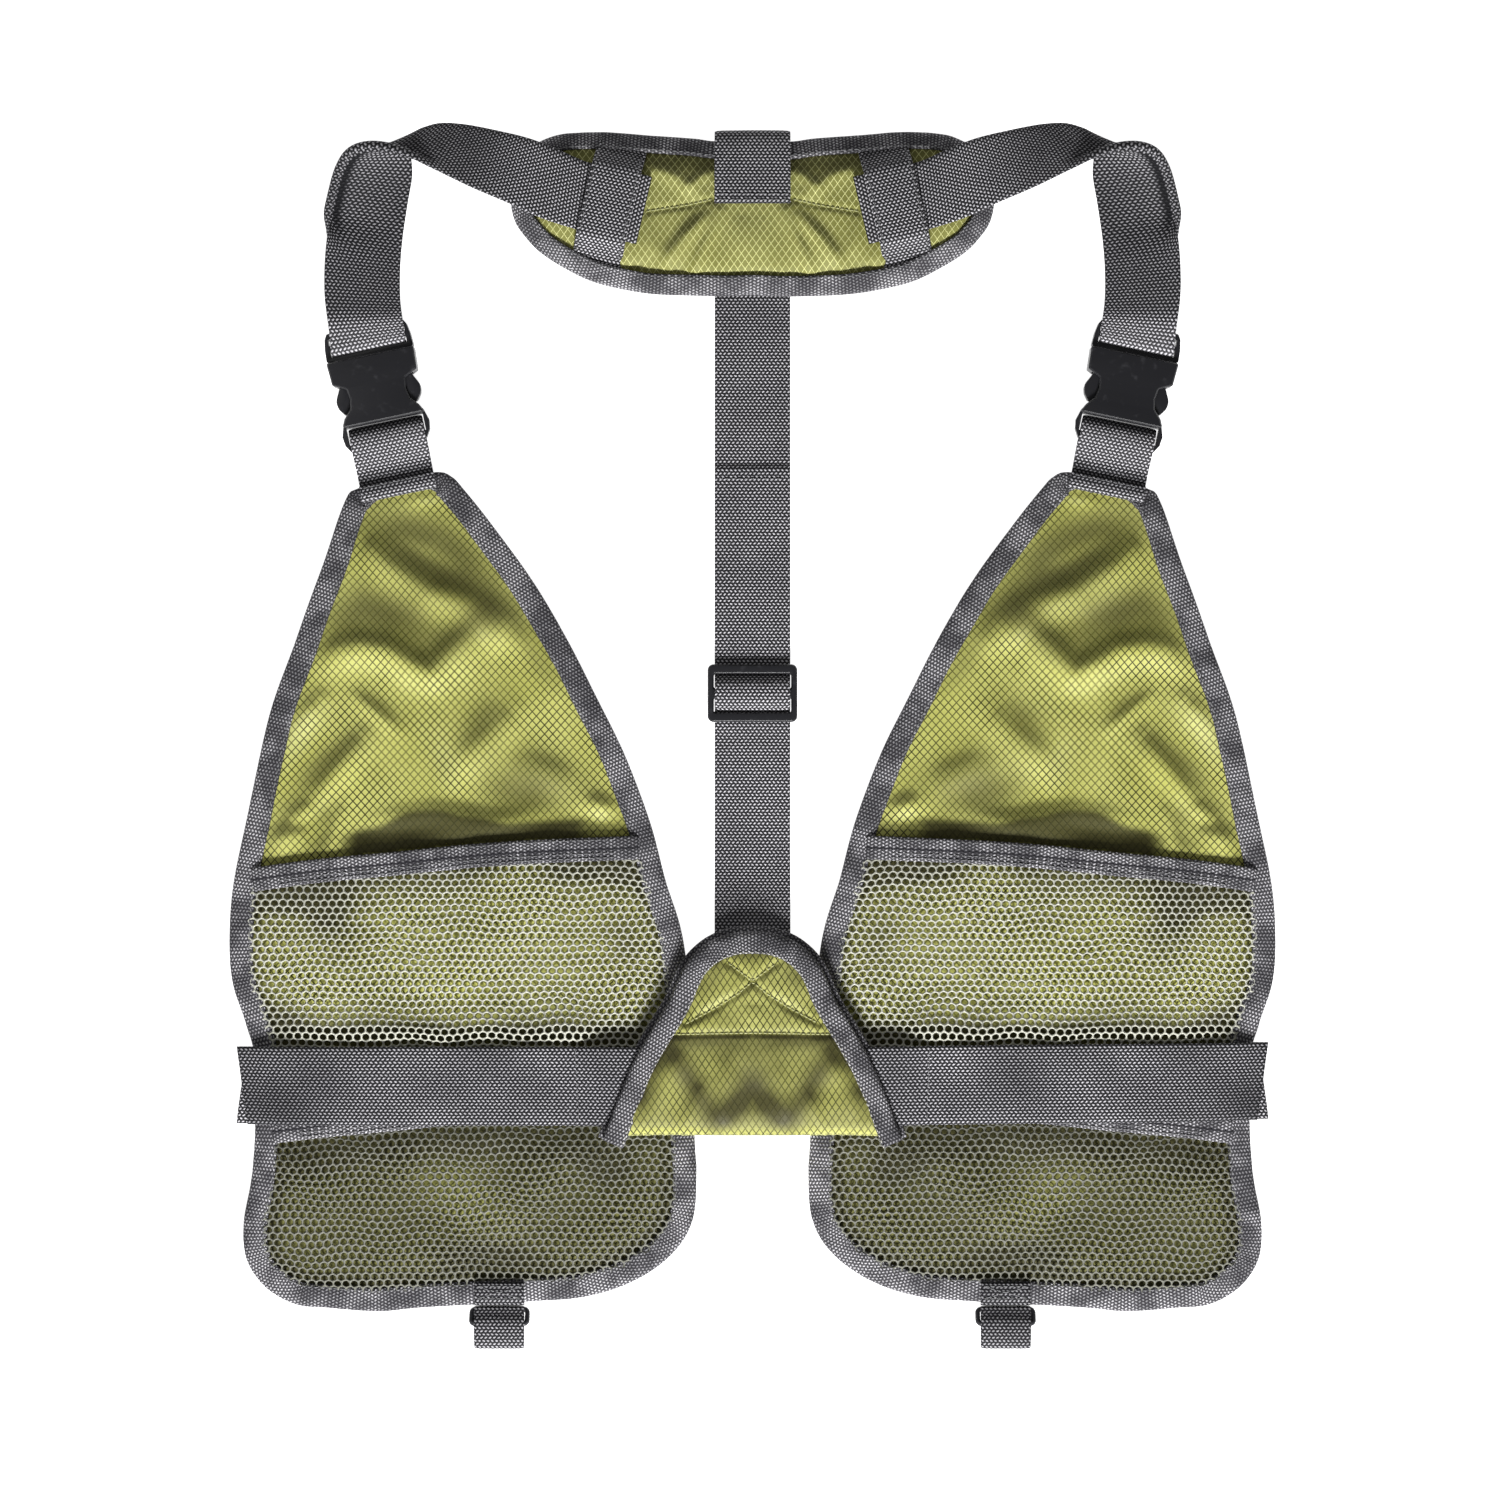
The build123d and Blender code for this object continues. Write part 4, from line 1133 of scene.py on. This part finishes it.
LUMBAR_FOLDS = [
    (((6, -152), (14, -172), (16, -196)), 6, 2.0),
    (((34, -154), (44, -172), (52, -190)), 6.5, 2.0),
    (((24, -172), (34, -194)), 4.5, 1.6),
    (((0, -150), (0, -168)), 4.5, 1.0),
    (((0, -132), (0, -142)), 9, 1.2),
    (((20, -140), (34, -144)), 5, 0.9),
]


def lumbar_shade(x, y):
    """Painted shade below the cross seam, less again at the lower edge, with painted shade and highlight
    patches along the folds.
    """
    below_seam = 0.36 * step_up(-y, 146, 150) - 0.3 * step_up(-y, 190, 200)
    return below_seam + 0.78 * folds(x, y, LUMBAR_PAINTED_LIGHT)


def build_lumbar():
    outline = mirrored_outline(LUMBAR_EDGE, 3.0)
    shrunk = outline + inward_normals(outline) * 2.5
    pad = pad_blank("lumbar_pad", shrunk, 11.0, 14.0, 18.6, 20.0, LUMBAR_CLOTH)
    inflate(pad, 4.0, 4.0, 2.0)
    crease(pad, LUMBAR_FOLDS, 14.5, 33, 0.3)
    press_seams(pad, LUMBAR_SEAMS, 1.7, 1.3, 14.0)
    shade_creases(pad, 0.55, lumbar_shade)
    settle(pad, "vest", "olive_ripstop", "lumbar_cover", "lumbar_foam")
    rows = [surface_line(pad, line, 0.1) for line in LUMBAR_SEAMS]
    settle(stitches("lumbar_seam_stitches", rows, PALE_THREAD, 2.0, 0.6, 0.3), "vest", "olive_ripstop")
    zigzag = [(x, -197.2 - 1.1 * (k % 2)) for k, x in enumerate(np.arange(-63, 63.1, 2.2))]
    hem = surface_line(pad, zigzag, 0.05)
    settle(stitches("lumbar_edge_stitches", [hem], PALE_THREAD, 2.0, 0.4, 0.24), "vest", "olive_ripstop")
    sides = [(-x, y) for x, y in LUMBAR_EDGE[7:0:-1]] + LUMBAR_EDGE[:8]
    line = curve_through(sides, 2.0)[::-1]
    tape = edge_tape("lumbar_tape", line, LUMBAR_BINDING, 12.0, 18.4, closed=False, seed=9, rise=2.0)
    settle(tape, "vest", "grey_tape", "lumbar_binding")
    back = line + level_normals(line) * -2.6
    tape = edge_tape("lumbar_back_tape", back, 6.0, 10.3, 13.4, closed=False, seed=10)
    settle(tape, "vest", "grey_tape")
    seam = at_height(line + level_normals(line) * 10.3, 20.6)
    settle(stitches("lumbar_tape_stitches", [seam], CREAM_THREAD, 1.6, 1.2, 0.24), "vest", "grey_tape")


# --------------------------------------------------------------- webbing

# These tables hold a webbing's (distance, height) points along its run.

BELT_HALF = [
    (256, 6.2), (250, 6.4), (244, 8.4), (237, 10.3), (222, 11.0), (180, 11.2), (130, 11.0), (90, 11.2),
    (78, 12.6), (66, 13.6), (40, 13.8),
]
BELT_RISE, BELT_SLANT = 2.2, 0.14


def belt_shade(x, y):
    """Painted shade, deeper towards the belt's ends, and a little uneven."""
    return 0.2 + 0.3 * step_up(np.abs(x), 196, 240) + 0.16 * ripple(x, y, 46, 43)


def build_belt():
    """The waist belt: folded ends on the panels, one run over the nets and through the lumbar pad."""
    run = [(-x, z) for x, z in BELT_HALF] + [(0, 13.8)] + BELT_HALF[::-1]
    route = [(x, BELT_Y + BELT_RISE * max(0, x - 40) / 216, z) for x, z in run]
    leans = [BELT_SLANT * min(1, max(0, abs(x) - 150) / 90) for x, z in run]
    across = [(math.copysign(lean, x), 1, 0) for lean, (x, z) in zip(leans, run)]
    belt = ribbon("belt_webbing", route, across, BELT, BELT_WEBBING, waver=0.3, seed=14, square=False)
    shade_by_place(belt, belt_shade)
    settle(belt, "vest", "grey_webbing", "waist_belt")
    rows = [[(x, -155.6, 12.4), (x - math.copysign(1.5, x), -192, 12.4)] for x in (88.5, -88.5)]
    settle(stitches("belt_stitches", rows), "vest", "grey_webbing")
    for side, letter, _ in SIDES:
        middle_y = BELT_Y + (BELT_RISE if side > 0 else 0)
        fold = [(side * x, middle_y, z) for x, z in ((256.5, 3.0), (250, 4.6), (243, 4.8))]
        across = (-side * BELT_SLANT, 1, 0)
        piece = ribbon(f"belt_fold_{letter}", fold, across, BELT - 0.5, BELT_WEBBING, square=False)
        settle(piece, "vest", "grey_webbing")


BACK_STRAP_HEIGHTS = [
    (-116, 9.4), (-100, 9.3), (-86, 7.0), (-70, 2.4), (-58, 1.0), (-20, 0.95), (0, 1.1), (14, 2.6),
    (60, 2.7), (130, 2.7), (142, 1.1), (200, 0.95), (260, 1.0), (296, 1.1), (302.6, 2.4), (304.4, 6.0),
    (301.6, 10.2), (294, 12.4), (284, 13.2), (267.5, 13.4),
]


def build_back_strap():
    """One webbing from the lumbar pad up under the yoke, over its top edge and onto its front."""
    route = raised(ORIGIN, ALONG_Y, BACK_STRAP_HEIGHTS)
    strap = ribbon("back_webbing", route, ALONG_X, WIDE, waver=0.18, seed=17, step=1.5)
    settle(strap, "vest", "grey_webbing", "back_strap")
    route = raised(ORIGIN, ALONG_Y, [(y, 0.9) for y in (14, 60, 132)])
    tail = ribbon("back_webbing_tail", route, ALONG_X, WIDE - 0.4)
    settle(tail, "vest", "grey_webbing", "back_strap_tail")
    ends = [[(-17.6, y, z), (17.6, y, z)] for y, z in ((269.2, 14.3), (272.0, 14.3))]
    ends.append([(-17, 130.5, 3.7), (17, 130.5, 3.7)])
    settle(stitches("back_strap_stitches", ends), "vest", "grey_webbing")


def build_slider():
    """The slider keeps its CAD outline, rounded, with webbing turned over its middle bar."""
    rounded("slider_frame", "slider_body", "slider", 0.9, BLACK)
    low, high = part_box("slider_frame")
    bar = (low.y + high.y) / 2 / MM
    rising = [(8.6, 4.2), (7.2, 6.6), (4.4, 8.9)]
    falling = [(bar + run, z) for run, z in rising[::-1]]
    heights = [(bar - run, z) for run, z in rising] + [(bar, 9.8)] + falling
    route = raised(ORIGIN, ALONG_Y, heights)
    hump = ribbon("slider_hump", route, ALONG_X, WIDE - 0.4, step=1.0)
    settle(hump, "slider", "grey_webbing", "slider_webbing")


KEEPER_HEIGHTS = [
    (-34, 5.8), (-31, 7.2), (-28, 8.8), (-25, 9.9), (-22, 12.0), (-19, 14.8), (-16.3, 17.0), (-10, 17.5),
    (0, 17.6), (10, 17.5), (18.5, 17.0), (21.5, 15.0), (25, 12.4), (28, 10.2), (30.5, 9.0), (33, 7.6),
    (36, 6.0),
]


def build_keepers():
    """Slanted bands over the strap ends, sewn in under the yoke's binding at both ends."""
    for side, letter, _ in SIDES:
        along = np.array([-0.222 * side, 0.975, 0])
        across = np.array([0.975, 0.222 * side, 0])
        middle = np.array([side * 72.0, 266.0, 0])
        route = raised(middle, along, KEEPER_HEIGHTS)
        piece = ribbon(f"keeper_webbing_{letter}", route, across, NARROW, step=1.5, waver=0.15, seed=19)
        settle(piece, "vest", "grey_webbing", f"yoke_keeper_{letter}")
        on_top = [(u, z + 0.95) for u, z in KEEPER_HEIGHTS[3:-3]]
        rows = [raised(middle + across * offset, along, on_top) for offset in (-10.8, 10.8)]
        settle(stitches(f"keeper_stitches_{letter}", rows), "vest", "grey_webbing")


STRAP_INNER = [
    (52, 280.5, 13.8), (70, 284.8, 14.2), (84, 288.4, 14.2), (98, 294.6, 14.4), (112, 299.6, 16),
    (128, 303, 19), (144, 305.5, 22), (157, 305.5, 23.5), (166, 301.5, 22), (170, 293, 17.5),
    (170, 281.5, 13), (172.5, 268, 10.5), (175, 252, 9.4), (176.4, 236, 9.2), (176.4, 220, 9.2),
    (174.9, 208, 9.2), (173.8, 200.6, 9.2), (173.6, 199.6, 7.6), (173.6, 199.4, 5.0),
]
STRAP_OUTER = [
    (60.5, 247.5, 13.8), (76, 251.4, 14.2), (89, 254.6, 14.2), (105, 259.5, 16), (122, 266.5, 21),
    (140, 273.5, 27), (158, 281.5, 33), (174, 288.5, 36.2), (187, 291.2, 36), (197, 289.5, 33),
    (203, 283, 28), (207.5, 271.5, 21.5), (211.5, 256.5, 15.5), (213.8, 240, 12.2), (214.2, 222, 10.6),
    (212.2, 205, 9.6), (211.0, 192.8, 9.2), (210.8, 191.8, 7.6), (210.8, 191.6, 5.0),
]
CURL_RADIUS = 3.4
CURL_SHARE = 0.27


def curled_edge(inner, outer, thickness_ring):
    """Points across a strap whose outer edge rolls over, outward and then back underneath."""
    ahead = np.gradient(outer, axis=0)
    outward = unit(np.stack([-ahead[:, 1], ahead[:, 0], 0 * ahead[:, 0]], 1))
    rolling = np.clip((outer[:, 0] - 150) / 24, 0, 1) * np.clip((outer[:, 1] - 238) / 26, 0, 1)
    rolling = step_up(rolling, 0, 1)[:, None, None]
    share = (thickness_ring[:, 0] + 0.5)[None, :, None]
    straight = inner[:, None] * (1 - share) + outer[:, None] * share
    turn = np.pi * np.clip((1 - share) / CURL_SHARE, 0, 1)
    radius = CURL_RADIUS * rolling
    low_start = outer[:, None] - np.array([0, 0, 2.0]) * radius
    rest = np.clip((1 - share - CURL_SHARE) / (1 - CURL_SHARE), 0, 1)
    rolled = outer[:, None] + outward[:, None] * radius * np.sin(turn)
    rolled = rolled - np.array([0, 0, 1.0]) * radius * (1 - np.cos(turn))
    under = low_start * (1 - rest) + inner[:, None] * rest
    curled = np.where(share > 1 - CURL_SHARE, rolled, under)
    return straight * (1 - rolling) + curled * rolling


def strap_shade(outer, ring):
    """Painted shade just inside the strap's rolled edge, on its middle run and below the roll, and a
    painted highlight on its last part above the buckle.
    """
    rolling = step_up(outer[:, 0], 150, 174) * step_up(outer[:, 1], 238, 264)
    share = ring[:, 0] + 0.5
    past_roll = (1 - share - CURL_SHARE) * WIDE
    gap = (past_roll > 0) * (1 - step_up(past_roll, 2.0, 6.5))
    below = 0.5 * step_up(outer[:, 0], 190, 207)
    below = below * step_up(outer[:, 1], 204, 216) - 0.55 * (1 - step_up(outer[:, 1], 200, 216))
    lying = 0.42 * (1 - step_up(outer[:, 0], 184, 204)) * step_up(outer[:, 0], 112, 150)
    level = (below + lying)[:, None] * np.ones_like(share)[None]
    beside_roll = 0.97 * rolling[:, None] * gap[None]
    return np.maximum(beside_roll, np.maximum(level, 0)) + np.minimum(level, 0)


def build_shoulder_straps():
    """Each strap leaves the yoke outward, rolls over its outer edge and drops to its buckle."""
    for side, letter, word in SIDES:
        line = curve_through(np.hstack([STRAP_INNER, STRAP_OUTER]), 1.6)
        inner, outer = line[:, :3], line[:, 3:]
        fine = np.concatenate([np.linspace(-0.5, 0.18, 12), np.linspace(0.22, 0.5, 22)])
        half = 0.5 * np.sqrt(np.clip(1 - np.abs(2 * fine) ** 30, 0.03, 1))
        ring = two_faces(fine, half)
        middle_skin = curled_edge(inner, outer, ring)
        count = len(fine)
        centre = middle_skin[:, :count]
        normal = unit(np.cross(np.gradient(centre, axis=1), np.gradient(centre, axis=0)))
        normal = np.concatenate([normal, normal[:, ::-1]], 1)
        grid = (middle_skin + normal * (ring[:, 1] * WEB_THICK)[None, :, None]) * (side, 1, 1)
        lengths = run_lengths((inner + outer) / 2)
        uv = strip_uv(lengths, ring[:, 0] * WIDE, ring[0, 0] * WIDE)
        strap = grid_object(f"shoulder_webbing_{letter}", grid, uv, WEBBING, closed_v=True, caps=True)
        set_shade(strap, strap_shade(outer, ring))
        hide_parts(f"shoulder_strap_{letter}")
        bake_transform(strap)
        corner, far = inner[0] * (side, 1, 1), outer[0] * (side, 1, 1)
        along_strap = unit(inner[8] - inner[0]) * (side, 1, 1)
        tail_route = raised((corner + far) / 2, along_strap, [(s, 1.7) for s in (-2.2, 6, 16)])
        tail = ribbon(f"strap_tail_{letter}", tail_route, unit(far - corner), WIDE - 3.5)
        settle(tail, "vest", "grey_webbing")


def buckle_axes(side):
    """The female body's mouth, the way up the strap and the way across it."""
    tilt = math.radians(11.8)
    up = np.array([side * math.sin(tilt), math.cos(tilt), 0])
    across = np.array([math.cos(tilt), -side * math.sin(tilt), 0])
    mouth = np.array([side * 191.6, 192.25, 0])
    return mouth, up, across


def rounded(node, name, body, radius, material):
    """A CAD piece with its edges rounded over, standing for that node."""
    source = frame["nodes"][node]
    made = bpy.data.objects.new(name, source.data.copy())
    scene.collection.objects.link(made)
    work = bmesh.new()
    work.from_mesh(made.data)
    bmesh.ops.remove_doubles(work, verts=work.verts, dist=0.00002)
    bmesh.ops.dissolve_limit(work, angle_limit=math.radians(2), verts=work.verts, edges=work.edges)
    work.to_mesh(made.data)
    work.free()
    bevel = made.modifiers.new("bevel", "BEVEL")
    bevel.width = radius * MM
    bevel.segments = 3
    bevel.limit_method = "ANGLE"
    bevel.angle_limit = math.radians(28)
    bevel.use_clamp_overlap = True
    swap_mesh(made, bevel)
    made.data.materials.clear()
    made.data.materials.append(material)
    return settle(made, body, SLOTS[node], node)


def anchor_shade(side):
    """The anchor's painted shade by place: under the buckle's bar and along the band, with painted
    highlights between them and at the band's end.
    """
    mouth, up, _ = buckle_axes(side)

    def level(x, y):
        v = (x - mouth[0]) * up[0] + (y - mouth[1]) * up[1]
        dim = 0.6 * step_up(v, -38.5, -36) + 0.5 * step_up(-v, 57, 60) - 0.85 * step_up(-v, 67.3, 68.6)
        return dim - 0.45 * step_up(v, -58, -55) * step_up(-v, 38, 40)

    return level


def fuller_arm(made, side, hand):
    """A buckle arm's outer curve and its inner edge, inside the body, made fuller than its hinge needs."""
    mouth, up, across = buckle_axes(side)
    points = coordinates(made)
    v = (points - mouth) @ up
    u = (points - mouth) @ across * hand
    middle = bell(v + 19, 5.5)
    inner_edge = 2.6 * step_up(-v, 8, 11) * step_up(v, -28.5, -27)
    move = np.where(u > 17, 1.7 * middle, 0) - np.where(u < 16.3, inner_edge, 0)
    write_coordinates(made, points + across * (hand * move)[:, None])


ANCHOR_HEIGHTS = [
    (-71.5, 6.4), (-64, 6.5), (-56, 6.8), (-49.5, 7.9), (-44.5, 8.7), (-40.4, 8.1), (-36.8, 6.4),
    (-34.7, 4.2), (-34.9, 2.2), (-37, 1.0), (-46, 0.95), (-54, 2.2), (-61, 4.3), (-71.5, 4.4),
]


def build_buckles():
    """The buckles' plastic, and the webbing that ties each female body to its panel."""
    for side, letter, word in SIDES:
        mouth, up, across = buckle_axes(side)
        rounded(f"buckle_female_{letter}", f"female_{letter}", "vest", 1.1, BLACK)
        rounded(f"buckle_male_{letter}", f"male_{letter}", f"buckle_{word}", 0.6, BLACK)
        for hand in ("left", "right"):
            node, body = f"buckle_{letter}_arm_{hand}", f"arm_{word}_{hand}"
            arm = rounded(node, f"arm_{letter}_{hand}", body, 0.7, BLACK)
            fuller_arm(arm, side, -1 if hand == "left" else 1)
        route = raised(mouth, up, ANCHOR_HEIGHTS)
        piece = ribbon(f"anchor_webbing_{letter}", route, across, WIDE - 0.4, step=1.2)
        shade_by_place(piece, anchor_shade(side))
        settle(piece, "vest", "grey_webbing", f"anchor_strap_{letter}")
        band = raised(mouth, up, [(v, 8.0) for v in (-63.5, -67.5, -71.5)])
        piece = ribbon(f"anchor_band_{letter}", band, across, WIDE, thickness=1.8, step=1.0)
        shade_by_place(piece, anchor_shade(side))
        settle(piece, "vest", "grey_webbing")
        rows = [raised(mouth + up * v, across, [(-17, 9.0), (17, 9.0)]) for v in (-64.8, -70.4)]
        settle(stitches(f"anchor_stitches_{letter}", rows), "vest", "grey_webbing")


TAB_X = 127.1
TAB_FOOT_HEIGHTS = [(-273, 5.4), (-278, 5.6), (-281.6, 5.2), (-284.2, 4.3)]
TAB_LOOP_HEIGHTS = [
    (-285.2, 5.7), (-288.5, 6.5), (-292, 8.2), (-297, 8.7), (-302, 8.3), (-305, 6.8), (-305, 4.9),
    (-301.5, 3.6), (-295, 3.5), (-290, 3.6), (-287, 4.0), (-285.2, 4.4),
]


def build_tabs():
    """The sewn-down feet with their crossed stitches, the free loops and the rings."""
    for side, letter, word in SIDES:
        x = side * TAB_X
        foot = raised(x * ALONG_X, ALONG_Y, TAB_FOOT_HEIGHTS)
        piece = ribbon(f"tab_foot_webbing_{letter}", foot, ALONG_X, NARROW, thickness=2.6, step=1.0)
        shade_by_place(piece, lambda x, y: 0.45 + 0.2 * step_up(y, -281, -276))
        settle(piece, "vest", "grey_webbing", f"tab_foot_{letter}")
        rows = [[(x - 11, y, 6.9), (x + 11, y, 6.9)] for y in (-274.8, -280.9)]
        rows += [[(x - reach, -275, 6.9), (x + reach, -280.8, 6.9)] for reach in (11, -11)]
        settle(stitches(f"tab_stitches_{letter}", rows), "vest", "grey_webbing")
        loop = raised(x * ALONG_X, ALONG_Y, TAB_LOOP_HEIGHTS)
        piece = ribbon(f"tab_loop_webbing_{letter}", loop, ALONG_X, NARROW, step=0.8)
        shade_by_place(piece, lambda x, y: 0.4 + 0.25 * step_up(y, -296, -288))
        settle(piece, f"tab_{word}", "grey_webbing", f"tab_loop_{letter}")
        dress(f"tab_ring_{letter}", RING_BLACK)


def dress(node, material):
    """Give a CAD node that stays its finished material, smooth-shaded."""
    kept = frame["nodes"][node]
    for place in kept.material_slots:
        place.material = material
    kept.data.polygons.foreach_set("use_smooth", [True] * len(kept.data.polygons))


# ----------------------------------------------------------------- stage

def build_stage():
    """A pale table with a faint glow of its own, a soft world and two lamps."""
    floor_mesh = bpy.data.meshes.new("floor")
    reach = 40.0
    corners = [(reach * x, reach * y, 0) for x, y in ((-1, -1), (1, -1), (1, 1), (-1, 1))]
    floor_mesh.from_pydata(corners, [], [(0, 1, 2, 3)])
    floor = bpy.data.objects.new("floor", floor_mesh)
    floor.location.z = -0.0003
    scene.collection.objects.link(floor)
    g = Graph("table_white")
    mottle = g.noise(g.place(), 3, 2)
    colour = g.mix(mottle, (0.86, 0.86, 0.86, 1), (0.9, 0.9, 0.9, 1))
    g.shader.inputs["Emission Color"].default_value = (1, 1, 1, 1)
    g.shader.inputs["Emission Strength"].default_value = 0.95
    floor_mesh.materials.append(g.finish(colour, 0.7))
    world = bpy.data.worlds.new("studio")
    world.use_nodes = True
    world.node_tree.nodes["Background"].inputs[0].default_value = (1, 1, 1, 1)
    world.node_tree.nodes["Background"].inputs[1].default_value = 0.12
    scene.world = world
    lamps = (
        ("key", (0.1, -1.6, 1.10), 0.55, 60),
        ("fill", (-1.2, 0.6, 1.6), 1.4, 4),
    )
    for name, place, size, power in lamps:
        light = bpy.data.lights.new(name, "AREA")
        light.size = size
        light.energy = power
        lamp = bpy.data.objects.new(name, light)
        lamp.location = place
        aim = -np.array(place)
        lamp.rotation_euler = (
            math.atan2(math.hypot(aim[0], aim[1]), -aim[2]), 0, math.atan2(aim[1], aim[0]) - math.pi / 2)
        scene.collection.objects.link(lamp)
    scene.view_settings.view_transform = "Standard"


build_stage()
for side, letter, word in SIDES:
    build_panel(side, letter)
build_yoke()
build_lumbar()
build_belt()
build_back_strap()
build_slider()
build_keepers()
build_shoulder_straps()
build_buckles()
build_tabs()
